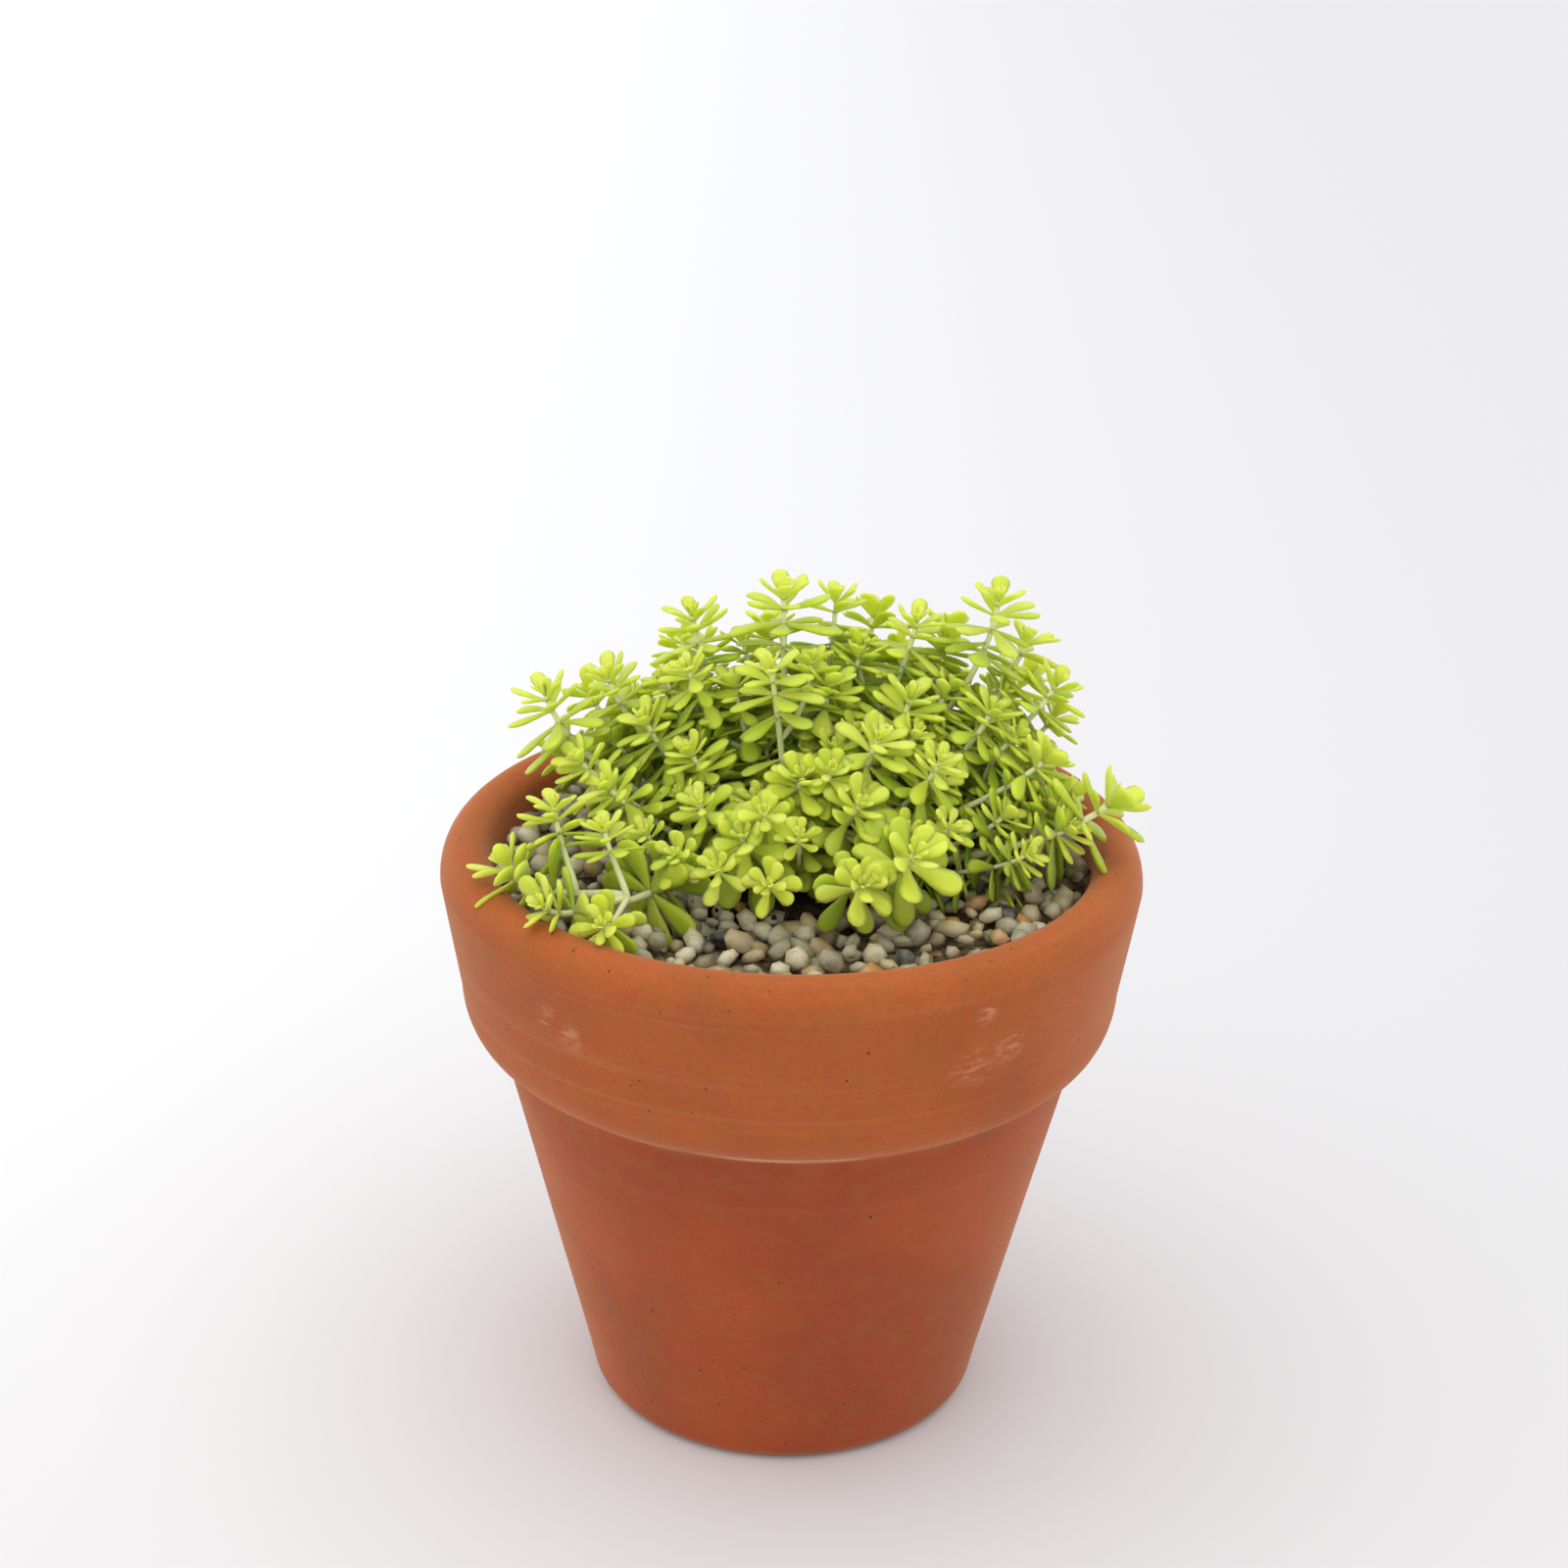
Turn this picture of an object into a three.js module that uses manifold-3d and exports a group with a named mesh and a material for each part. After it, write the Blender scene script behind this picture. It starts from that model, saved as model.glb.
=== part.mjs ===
// A golden stonecrop growing in a clay pot, top-dressed with grit.
// Millimetres, +Z up. The origin is the middle of the pot's foot, on the surface that it stands on,
// and -Y is the side that the plant is seen from.
import * as THREE from 'three';
import { mergeVertices } from 'three/addons/utils/BufferGeometryUtils.js';
import Module from 'manifold-3d';

const wasm = await Module();
wasm.setup();

// Driving dimensions of the pot, a 10.5 cm clay pot with a wide rim.
const rimRadius = 52.5;
const potHeight = 92;
const lipCrownRadius = 48.6;
const lipRound = 5.6;
const bandFootRadius = 49.7;
const bandFootHeight = 69.6;
const bodyTopRadius = 44.4;
const creaseHeight = 61.5;
const baseRadius = 30.3;
const footRound = 3.4;
const wallTopRadius = 45;
const wallTopHeight = 88.6;
const wallFloorRadius = 26.2;
const floorThickness = 7;
const drainRadius = 5.5;

// Driving dimensions of what fills it.
const clearance = 0.3;
const shelfHeight = 80;
const moundRadius = 20;
const moundEdgeHeight = 87.2;
const moundHeight = 88.4;
const bedHeight = 87;
const stoneRows = 8;
const stoneColumns = 72;
const stoneRise = 2.9;

// Driving dimensions of the plant.
const stemRadius = 0.8;
const stemSides = 3;
const stemStep = 8.5;
const rootDepth = 3.6;
const holeRadius = 1.55;
const holeSides = 5;
const leafWidth = 2.2;
const leafThickness = 1.1;
const leafRootRadius = 1.2;
const knuckleRadius = 1.5;

// The leaves of a rosette, of a whorl under it and of the hub where the low stem forks, in the order
// that they stand round the stem. tilt is the angle between a leaf and the stem's direction.
const outerLeaf = { tilt: 80, length: 6.6 };
const innerLeaf = { tilt: 38, length: 4.6 };
const rosette = Array.from({ length: 8 }, (_, index) => (index % 2 ? innerLeaf : outerLeaf));
const whorl = Array(4).fill({ tilt: 90, length: 6.8 });
const hub = Array(7).fill({ tilt: 84, length: 7 });
const rosetteDepth = 0.4;
const whorlDepth = 6;
const whorlSpacing = 5.8;
const droopPerWhorl = 8;

// One row for each leafy stem: where it leaves the soil, where its tip stands, how far the tip leans
// out from upright, how many whorls it carries under its rosette, and how large its leaves are as a
// share of the usual size. A forked stem ends in a hub of leaves, with a rosette at each fork's tip.
const stems = [
  { name: 'stem_top', root: [-1, 5], tip: [-2, 10, 126], lean: 4, whorls: 2, size: 1.1 },
  { name: 'stem_top_back', root: [3, 8], tip: [6, 18, 122.5], lean: 14, whorls: 1, size: 0.95 },
  { name: 'stem_top_far', root: [6, 11], tip: [12, 27, 117], lean: 22, whorls: 1 },
  { name: 'stem_top_right', root: [7, 5], tip: [18, 12, 121], lean: 14, whorls: 1 },
  { name: 'stem_shoulder_right', root: [10, 9], tip: [23, 22, 116.5], lean: 24, whorls: 1 },
  { name: 'stem_tall_right', root: [13, 5], tip: [30, 11, 125], lean: 6, whorls: 2, size: 1.05 },
  { name: 'stem_outer_right', root: [16, 3], tip: [39, 9, 112.5], lean: 30, whorls: 1 },
  { name: 'stem_star', root: [8, 0], tip: [17, 0, 113.5], lean: 16, whorls: 1, size: 1.1 },
  { name: 'stem_tuft', root: [13, -1], tip: [29, 1, 111.5], lean: 22, whorls: 1 },
  { name: 'stem_heart', root: [2, 1], tip: [5, 2, 115], lean: 6, whorls: 1, size: 0.95 },
  { name: 'stem_heart_front', root: [-1, -4], tip: [-3.5, -4, 119.5], lean: 8, whorls: 2 },
  { name: 'stem_bright', root: [5, -5], tip: [12, -10, 111], lean: 18, whorls: 1, size: 1.1 },
  { name: 'stem_apron', root: [4, -9], tip: [9.5, -18, 104], lean: 36, whorls: 1 },
  { name: 'stem_elbow', root: [9, -6], tip: [21, -13, 109], lean: 24, whorls: 1, size: 0.85 },
  { name: 'stem_front_big', root: [8, -12], tip: [17, -28, 101], lean: 34, whorls: 1, size: 1.2 },
  { name: 'stem_front_small', root: [12, -10], tip: [22.5, -19, 101.5], lean: 34, whorls: 0, size: 0.7 },
  { name: 'stem_front_low', root: [4, -15], tip: [10, -32.5, 98.5], lean: 50, whorls: 0, size: 0.85 },
  { name: 'stem_front_left', root: [-3, -9], tip: [-7, -21, 100], lean: 32, whorls: 1, size: 1.15 },
  { name: 'stem_front_tiny', root: [1, -12], tip: [1, -24.5, 102], lean: 22, whorls: 0, size: 0.65 },
  { name: 'stem_left_step', root: [-6, -7], tip: [-13.5, -15, 102.5], lean: 30, whorls: 0, size: 0.85 },
  { name: 'stem_left_low', root: [-5, -14], tip: [-10.5, -27.5, 98], lean: 44, whorls: 0, size: 0.75 },
  { name: 'stem_front_dark', root: [-1, -16], tip: [-3.2, -31, 97.5], lean: 46, whorls: 0, size: 0.75 },
  { name: 'stem_left_star', root: [-9, -12], tip: [-16.5, -24, 98.5], lean: 40, whorls: 0, size: 0.75 },
  { name: 'stem_left_tiny', root: [-11, -8], tip: [-21, -17.5, 99], lean: 28, whorls: 0, size: 0.6 },
  {
    name: 'stem_forked', root: [-13, -13], tip: [-23, -28, 93.2], lean: 80, whorls: 0, isHub: true,
    forks: [
      { tip: [-26.5, -25, 103], lean: 14, whorls: 0, size: 0.8 },
      { tip: [-41, -21, 95], lean: 34, whorls: 1, size: 1.1 },
      { tip: [-34, -18, 103], lean: 10, whorls: 0, size: 0.9, fromMiddle: true },
      { tip: [-34.5, -32, 93.8], lean: 42, whorls: 0, size: 1.1 },
      { tip: [-26, -38, 94], lean: 45, whorls: 0, size: 0.8 },
    ],
  },
  { name: 'stem_left_out', root: [-16, 1], tip: [-37, 5, 111], lean: 16, whorls: 2, size: 1.1 },
  { name: 'stem_left_under', root: [-16, -3], tip: [-31.5, -4, 104.5], lean: 40, whorls: 0, size: 0.9 },
  { name: 'stem_left_high', root: [-11, 6], tip: [-28, 10, 112], lean: 18, whorls: 1 },
  { name: 'stem_shoulder_left', root: [-7, 7], tip: [-15.5, 13, 121], lean: 10, whorls: 2 },
  { name: 'stem_left_mid', root: [-9, 1], tip: [-22, 1, 109], lean: 22, whorls: 1, size: 0.95 },
  { name: 'stem_left_inner', root: [-4, 2], tip: [-9, 5, 113.5], lean: 12, whorls: 0, size: 0.95 },
  { name: 'stem_left_front', root: [-13, -5], tip: [-27, -10, 103], lean: 34, whorls: 1, size: 0.95 },
  { name: 'stem_left_deep', root: [-6, -2], tip: [-15, -5, 106.5], lean: 22, whorls: 0, size: 0.9 },
  { name: 'stem_middle_front', root: [0, -7], tip: [1, -14, 106.5], lean: 26, whorls: 1, size: 0.95 },
  {
    name: 'stem_right_bare', root: [13, -5], tip: [37, -5, 106.5],
    lean: 44, whorls: 1, size: 0.95, spacing: 8,
  },
  {
    name: 'stem_right_long', root: [14, -10], tip: [46.5, -9, 101.5],
    lean: 46, whorls: 2, size: 1.2, spacing: 8,
  },
  { name: 'stem_right_back', root: [14, 8], tip: [35, 17, 116.5], lean: 22, whorls: 1 },
  { name: 'stem_right_edge', root: [18, 5], tip: [39.5, 12, 106.5], lean: 38, whorls: 1, size: 0.95 },
  { name: 'stem_right_nest', root: [18, 1], tip: [38, 3, 103], lean: 42, whorls: 0, size: 0.9 },
  { name: 'stem_back_right', root: [13, 13], tip: [36, 29, 106], lean: 38, whorls: 1 },
  { name: 'stem_back_low_right', root: [10, 16], tip: [24, 38, 102], lean: 46, whorls: 1, size: 0.95 },
  { name: 'stem_back_middle', root: [3, 14], tip: [8, 38, 106], lean: 36, whorls: 1 },
  { name: 'stem_back_tall', root: [-2, 11], tip: [-4, 25, 115.5], lean: 20, whorls: 1 },
  { name: 'stem_back_low', root: [-2, 17], tip: [-6, 42, 98], lean: 56, whorls: 0, size: 0.9 },
  { name: 'stem_back_left', root: [-8, 13], tip: [-19, 32, 105], lean: 36, whorls: 1 },
  { name: 'stem_back_left_out', root: [-13, 10], tip: [-32, 24, 104], lean: 38, whorls: 1 },
  { name: 'stem_back_left_high', root: [-7, 10], tip: [-15, 22, 113], lean: 22, whorls: 0, size: 0.95 },
  { name: 'stem_left_back_low', root: [-17, 6], tip: [-35, 14, 99.5], lean: 50, whorls: 1, size: 0.9 },
];

const radians = THREE.MathUtils.degToRad;
const up = new THREE.Vector3(0, 0, 1);

// A seeded random number from 0 to 1 (mulberry32).
function seeded(seed) {
  let state = seed;
  return () => {
    state = (state + 0x6d2b79f5) | 0;
    let mixed = Math.imul(state ^ (state >>> 15), 1 | state);
    mixed = (mixed + Math.imul(mixed ^ (mixed >>> 7), 61 | mixed)) ^ mixed;
    return ((mixed ^ (mixed >>> 14)) >>> 0) / 4294967296;
  };
}

// A closed geometry as a solid, and a solid back as a flat-shaded geometry.
function toSolid(geometry) {
  const bare = geometry.clone();
  bare.deleteAttribute('normal');
  bare.deleteAttribute('uv');
  const merged = mergeVertices(bare, 1e-4);
  return new wasm.Manifold(new wasm.Mesh({
    numProp: 3,
    vertProperties: new Float32Array(merged.attributes.position.array),
    triVerts: new Uint32Array(merged.index.array),
  }));
}

function toGeometry(solid) {
  const mesh = solid.getMesh();
  const geometry = new THREE.BufferGeometry();
  geometry.setAttribute('position', new THREE.BufferAttribute(mesh.vertProperties, 3));
  geometry.setIndex(new THREE.BufferAttribute(mesh.triVerts, 1));
  return geometry;
}

// Solids joined in one, with any small hollow that joining them seals filled: the outer skin is kept.
function fused(solids) {
  const skins = wasm.Manifold.union(solids).decompose();
  return skins.reduce((outer, skin) => (skin.volume() > outer.volume() ? skin : outer));
}

// Lathes turn about Y, so the axis is stood up along Z.
function turned(profile, sides) {
  return new THREE.LatheGeometry(profile, sides).rotateX(Math.PI / 2);
}

function finish(name, geometry, colour, roughness) {
  const flat = geometry.index ? geometry.toNonIndexed() : geometry;
  flat.computeVertexNormals();
  const material = new THREE.MeshStandardMaterial({ color: colour, roughness, metalness: 0 });
  const mesh = new THREE.Mesh(flat, material);
  mesh.name = name;
  return mesh;
}

// The wall inside the pot is straight from the floor to the lip.
function wallRadius(height) {
  const share = (height - floorThickness) / (wallTopHeight - floorThickness);
  return THREE.MathUtils.lerp(wallFloorRadius, wallTopRadius, share);
}

// The pot: foot, tapering body, rolled rim band, rounded lip, inner wall, floor and drain hole.
const potSides = 40;

// Points along a quarter of an ellipse in the profile, from one angle to another, in degrees.
function rounded(centreX, centreY, radiusX, radiusY, from, to, steps) {
  return Array.from({ length: steps + 1 }, (_, step) => {
    const angle = radians(THREE.MathUtils.lerp(from, to, step / steps));
    const x = centreX + radiusX * Math.cos(angle);
    return new THREE.Vector2(x, centreY + radiusY * Math.sin(angle));
  });
}

function pot() {
  const crease = bodyTopRadius + 0.6;
  const profile = [
    new THREE.Vector2(drainRadius, 0),
    ...rounded(baseRadius - footRound, footRound, footRound, footRound, -90, -8, 2),
    new THREE.Vector2(bodyTopRadius, creaseHeight),
    ...rounded(crease, bandFootHeight, bandFootRadius - crease, bandFootHeight - creaseHeight - 0.4, -90, 0, 3),
    ...rounded(lipCrownRadius, potHeight - lipRound, rimRadius - lipCrownRadius, lipRound, 0, 90, 3),
    ...rounded(lipCrownRadius, wallTopHeight, lipCrownRadius - wallTopRadius, potHeight - wallTopHeight,
      120, 180, 2),
    new THREE.Vector2(wallFloorRadius, floorThickness),
    new THREE.Vector2(drainRadius, floorThickness),
    new THREE.Vector2(drainRadius, 0),
  ];
  return finish('pot', turned(profile, potSides), 0xb5623a, 0.85);
}

// The soil fills the pot to a shelf under the grit and rises to a mound among the stems,
// with a plain hole for each stem.
function soilHeight(x, y) {
  const share = Math.min(1, Math.hypot(x, y) / moundRadius);
  return THREE.MathUtils.lerp(moundHeight, moundEdgeHeight, share);
}

function soil() {
  const bottom = floorThickness + clearance;
  const profile = [
    new THREE.Vector2(0, bottom),
    new THREE.Vector2(wallRadius(bottom) - clearance, bottom),
    new THREE.Vector2(wallRadius(shelfHeight) - clearance, shelfHeight),
    new THREE.Vector2(moundRadius, shelfHeight),
    new THREE.Vector2(moundRadius, moundEdgeHeight),
    new THREE.Vector2(0, moundHeight),
  ];
  const holes = stems.map(({ root: [x, y] }) => {
    const depth = 2 * rootDepth;
    const hole = new THREE.CylinderGeometry(holeRadius, holeRadius, depth, holeSides);
    hole.rotateX(Math.PI / 2);
    hole.translate(x, y, soilHeight(x, y));
    return toSolid(hole);
  });
  const body = toSolid(turned(profile, potSides / 2));
  return body.subtract(wasm.Manifold.union(holes));
}

// The grit: a ring-shaped bed whose top is raised into stones. The points of its top stand in rows,
// each half a step on from the last, and every third one is a stone's crown with six low points round
// it. Each point is set off its place by a seeded draw.
function gravel() {
  const random = seeded(11);
  const inner = moundRadius + clearance;
  const outer = wallRadius(bedHeight) - clearance;
  const bottom = shelfHeight + clearance;
  const pitch = (outer - inner) / stoneRows;
  const top = Array.from({ length: stoneRows + 1 }, (_, row) => (
    new THREE.Vector2(outer - row * pitch, bedHeight)
  ));
  const foot = [new THREE.Vector2(inner, bottom), new THREE.Vector2(wallRadius(bottom) - clearance, bottom)];
  const profile = [...foot, ...top, foot[0]];
  const geometry = turned(profile, stoneColumns);
  const place = geometry.attributes.position;
  for (let column = 0; column < stoneColumns; column += 1) {
    profile.forEach((point, step) => {
      const row = point === foot[0] ? stoneRows : Math.max(0, step - foot.length);
      const spot = { radius: point.x, steps: column + row / 2, height: point.y };
      if (step > foot.length && row > 0 && row < stoneRows) {
        const crown = (column + 2 * row) % 3 === 0;
        spot.height += crown ? stoneRise * (0.55 + 0.45 * random()) : -0.4 * random();
        spot.radius += 0.3 * pitch * (random() - 0.5);
        spot.steps += 0.4 * (random() - 0.5);
      }
      const angle = (spot.steps / stoneColumns) * 2 * Math.PI;
      const x = spot.radius * Math.sin(angle);
      const y = -spot.radius * Math.cos(angle);
      place.setXYZ(column * profile.length + step, x, y, spot.height);
      if (column === 0) place.setXYZ(stoneColumns * profile.length + step, x, y, spot.height);
    });
  }
  return toSolid(geometry);
}

// A stem's line: it leaves upright and turns in one smooth bend towards the way its tip leans.
function outward(from, to) {
  const plan = new THREE.Vector3(to.x - from.x, to.y - from.y, 0);
  return plan.normalize();
}

function bend(start, tip, lean, lift) {
  const heading = up.clone().multiplyScalar(Math.cos(radians(lean)));
  heading.addScaledVector(outward(start, tip), Math.sin(radians(lean)));
  const first = start.clone().addScaledVector(up, lift);
  const last = tip.clone().addScaledVector(heading, -0.4 * start.distanceTo(tip));
  return new THREE.CubicBezierCurve3(start, first, last, tip);
}

// The way that a stem is extruded along: one step straight up out of its hole, then even steps.
class StemPath extends THREE.Curve {
  constructor(line, footDepth) {
    super();
    this.line = line;
    this.foot = line.v0.clone().addScaledVector(up, -footDepth);
    this.rootSteps = footDepth > 0 ? 1 : 0;
    this.steps = this.rootSteps + Math.max(2, Math.round(line.getLength() / stemStep));
  }

  getPoint(share, target = new THREE.Vector3()) {
    const place = share * this.steps;
    if (place < this.rootSteps) return target.copy(this.foot).lerp(this.line.v0, place);
    return this.line.getPointAt((place - this.rootSteps) / (this.steps - this.rootSteps), target);
  }

  getPointAt(share, target) {
    return this.getPoint(share, target);
  }

  getTangentAt(share, target) {
    return this.getTangent(share, target);
  }
}

function stemGeometry(line, footDepth) {
  const corners = Array.from({ length: stemSides }, (_, side) => {
    const angle = (side / stemSides) * 2 * Math.PI;
    return new THREE.Vector2(stemRadius * Math.cos(angle), stemRadius * Math.sin(angle));
  });
  const path = new StemPath(line, footDepth);
  const options = { steps: path.steps, extrudePath: path, bevelEnabled: false };
  return new THREE.ExtrudeGeometry(new THREE.Shape(corners), options);
}

// A whorl is one star of club-shaped leaves round the stem, each narrow at the root, widest past the
// middle and round at the tip. It is cut flat, and each leaf is then tilted up or down at its root.
// Leaves that have no room are left out of the outline. +Z runs along the stem.
function whorlGeometry(leaves, shown, margin) {
  const sector = (2 * Math.PI) / leaves.length;
  const centre = new THREE.Vector2();
  const root = leafRootRadius + margin;
  const outline = leaves.flatMap(({ length, width }, index) => {
    const half = width / 2 + margin;
    const club = shown.includes(index)
      ? [[0.74 * length, -half], [length + margin, 0], [0.74 * length, half]]
      : [];
    return [
      new THREE.Vector2(root, 0).rotateAround(centre, (index - 0.5) * sector),
      ...club.map((point) => new THREE.Vector2(...point).rotateAround(centre, index * sector)),
    ];
  });
  const depth = leafThickness + 2 * margin;
  const geometry = new THREE.ExtrudeGeometry(new THREE.Shape(outline), { depth, bevelEnabled: false });
  geometry.translate(0, 0, -depth / 2);
  const place = geometry.attributes.position;
  for (let index = 0; index < place.count; index += 1) {
    const x = place.getX(index);
    const y = place.getY(index);
    const radius = Math.hypot(x, y);
    const beyond = radius - root;
    if (beyond > 1e-3) {
      const turns = Math.round(Math.atan2(y, x) / sector);
      const angle = radians(leaves[(turns + leaves.length) % leaves.length].tilt);
      const offset = place.getZ(index);
      const out = (root + beyond * Math.sin(angle) - offset * Math.cos(angle)) / radius;
      place.setXYZ(index, x * out, y * out, beyond * Math.cos(angle) + offset * Math.sin(angle));
    }
  }
  return geometry;
}

// Where a whorl sits: below the tip on the stem's line, turned about it.
function whorlFrame(line, below, turn) {
  const share = Math.max(0, 1 - below / line.getLength());
  const along = line.getTangentAt(share);
  const side = new THREE.Vector3(0, 1, 0).addScaledVector(along, -along.y).normalize();
  const across = side.clone().cross(along);
  const basis = new THREE.Matrix4().makeBasis(across, side, along);
  return basis.multiply(new THREE.Matrix4().makeRotationZ(turn)).setPosition(line.getPointAt(share));
}

// The solids set so far, each with its box and the node that it belongs to.
const placed = [];

function keep(owner, solid, geometry) {
  geometry.computeBoundingBox();
  placed.push({ owner, solid, box: geometry.boundingBox.clone() });
}

function isClear(owner, geometry) {
  geometry.computeBoundingBox();
  const near = placed.filter((piece) => (
    piece.owner !== owner && piece.box.intersectsBox(geometry.boundingBox)
  ));
  if (near.length === 0) return true;
  const probe = toSolid(geometry);
  return near.every((piece) => probe.intersect(piece.solid).isEmpty());
}

// Leaves that would cross another stem's leaves are turned or bent clear with their whorl, to where
// most of them have room, and the others are left out. A detour is a share of the angle between two
// leaves, and degrees of tilt.
const detours = [[0, 0], [0.25, 0], [0.5, 0], [0.75, 0], [0, -14], [0.5, -14], [0, 12], [0.5, 12]];

function addWhorl(owner, line, leaves, below, turn) {
  let best = { shown: [] };
  for (const [aside, bent] of detours) {
    const frame = whorlFrame(line, below, radians(turn + (aside * 360) / leaves.length));
    const bentLeaves = leaves.map((leaf) => ({ ...leaf, tilt: leaf.tilt + bent }));
    const shown = leaves.map((_, index) => index).filter((index) => (
      isClear(owner, whorlGeometry(bentLeaves, [index], clearance).applyMatrix4(frame))
    ));
    if (shown.length > best.shown.length) best = { frame, bentLeaves, shown };
    if (shown.length === leaves.length) break;
  }
  if (best.shown.length === 0) return;
  const geometry = whorlGeometry(best.bentLeaves, best.shown, 0).applyMatrix4(best.frame);
  keep(owner, toSolid(geometry), geometry);
}

// Twigs are the stems and their forks. Forks leave the knuckle at the stem's tip, or the middle of
// the fork before. All of them are set before the first leaf, and every rosette before the first whorl.
function twigsOf(stem) {
  const [x, y] = stem.root;
  const knuckle = new THREE.Vector3(...stem.tip);
  const collar = new THREE.Vector3(x, y, soilHeight(x, y));
  const line = bend(collar, knuckle, stem.lean, Math.max(5, 0.4 * (knuckle.z - collar.z)));
  const twigs = [{ ...stem, owner: stem.name, line, footDepth: rootDepth - clearance }];
  for (const fork of stem.forks ?? []) {
    const start = fork.fromMiddle ? twigs.at(-1).line.getPointAt(0.5) : knuckle;
    const end = new THREE.Vector3(...fork.tip);
    const branch = bend(start, end, fork.lean, 0.15 * start.distanceTo(end));
    twigs.push({ ...fork, owner: stem.name, line: branch, footDepth: 0 });
  }
  return twigs;
}

const pieces = { pot: pot(), soil: soil(), gravel: gravel() };
const twigs = stems.flatMap(twigsOf);
const goldenTurn = 137.5;

for (const name of ['soil', 'gravel']) {
  keep(name, pieces[name], toGeometry(pieces[name]));
}
keep('pot', toSolid(pieces.pot.geometry), pieces.pot.geometry);
for (const { owner, line, footDepth, forks } of twigs) {
  const geometry = stemGeometry(line, footDepth);
  keep(owner, toSolid(geometry), geometry);
  if (forks) {
    const knuckle = new THREE.IcosahedronGeometry(knuckleRadius, 0).translate(...line.v3.toArray());
    keep(owner, toSolid(knuckle), knuckle);
  }
}

// The leaves of a whorl differ a little in tilt and length, by a wave that runs over all of them. size
// is how large they all are as a share of the usual size.
function varied(leaves, order, size, droop) {
  return leaves.map(({ tilt, length }, index) => {
    const sway = Math.sin(12.9 * order + 7.8 * index);
    return {
      tilt: tilt + droop + 6 * sway,
      length: size * length * (1 + 0.07 * sway),
      width: size * leafWidth,
    };
  });
}

twigs.forEach(({ owner, line, isHub, size = 1 }, order) => {
  addWhorl(owner, line, varied(isHub ? hub : rosette, order, size, 0), rosetteDepth, order * goldenTurn);
});
twigs.forEach(({ owner, line, whorls, size = 1, spacing = whorlSpacing }, order) => {
  for (let index = 0; index < whorls; index += 1) {
    const leaves = varied(whorl, order, size, index * droopPerWhorl);
    addWhorl(owner, line, leaves, whorlDepth + index * spacing, (order + index + 1) * goldenTurn);
  }
});

const group = new THREE.Group();
group.add(pieces.pot);
group.add(finish('soil', toGeometry(pieces.soil), 0x2e241c, 0.95));
group.add(finish('gravel', toGeometry(pieces.gravel), 0xb3aa9b, 0.7));
for (const { name } of stems) {
  const solids = placed.filter((piece) => piece.owner === name).map((piece) => piece.solid);
  group.add(finish(name, toGeometry(fused(solids)), 0xa9c63a, 0.5));
}

export default group;
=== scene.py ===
import math
import random

import bmesh
import bpy
from mathutils import Matrix, Vector


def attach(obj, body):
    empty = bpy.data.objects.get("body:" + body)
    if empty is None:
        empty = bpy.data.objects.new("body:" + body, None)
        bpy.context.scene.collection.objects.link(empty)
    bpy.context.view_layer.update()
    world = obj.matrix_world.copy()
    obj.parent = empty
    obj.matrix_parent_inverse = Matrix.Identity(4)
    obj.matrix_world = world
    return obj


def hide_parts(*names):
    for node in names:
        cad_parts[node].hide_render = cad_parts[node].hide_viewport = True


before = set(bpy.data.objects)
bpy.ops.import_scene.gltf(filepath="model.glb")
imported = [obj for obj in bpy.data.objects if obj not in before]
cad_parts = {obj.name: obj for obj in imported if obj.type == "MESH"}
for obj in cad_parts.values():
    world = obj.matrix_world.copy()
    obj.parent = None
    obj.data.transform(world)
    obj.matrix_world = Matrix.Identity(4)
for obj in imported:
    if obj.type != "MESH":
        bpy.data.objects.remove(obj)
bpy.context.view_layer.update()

# Camera
# The pot is seen a little from above, from half a metre away and through a long lens, so its sides
# stay almost straight. The picture leans by one degree.
MM = 0.001
camera_place = Vector((0, -428.07, 283.22)) * MM
camera_aim = Vector((-1.37, 0, 99.6)) * MM
camera_lean = math.radians(1.0)
camera_data = bpy.data.cameras.new("camera")
camera_data.sensor_width = 36
camera_data.lens = 72
camera = bpy.data.objects.new("camera", camera_data)
camera_turn = (camera_aim - camera_place).to_track_quat("-Z", "Y").to_matrix().to_4x4()
camera.matrix_world = Matrix.Translation(camera_place) @ camera_turn @ Matrix.Rotation(camera_lean, 4, "Z")
bpy.context.scene.collection.objects.link(camera)
bpy.context.scene.camera = camera

# Pot
# A machine-pressed terracotta flower pot, 105 mm across its rim: a tapering body, a rolled rim band
# with a rounded lip, a straight inner wall, and a floor with a drain hole. It is one profile turned
# round its axis, and the clay is a little uneven from the press and the kiln.
rim_radius = 52.5
pot_height = 92
lip_crown_radius = 48.6
lip_round = 5.6
band_foot_radius = 49.7
band_foot_height = 69.6
body_top_radius = 44.4
crease_radius = 45.0
crease_height = 61.5
base_radius = 30.3
foot_round = 3.4
wall_top_radius = 45.0
wall_top_height = 88.6
wall_floor_radius = 26.2
floor_thickness = 7.0
drain_radius = 5.5
pot_sides = 200
# Where lime has rubbed off on the rim, with the size of each mark.
scuffs = [
    ((-33.5, -39.0, 80.0), 3.6),
    ((-30.6, -40.9, 78.0), 3.4),
    ((25.5, -43.9, 76.1), 4.6),
    ((30.5, -40.5, 77.6), 4.0),
    ((27.2, -44.6, 85.0), 2.4),
    ((-14.0, 47.0, 74.0), 5.0),
    ((41.0, 22.0, 70.0), 4.2),
]


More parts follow.
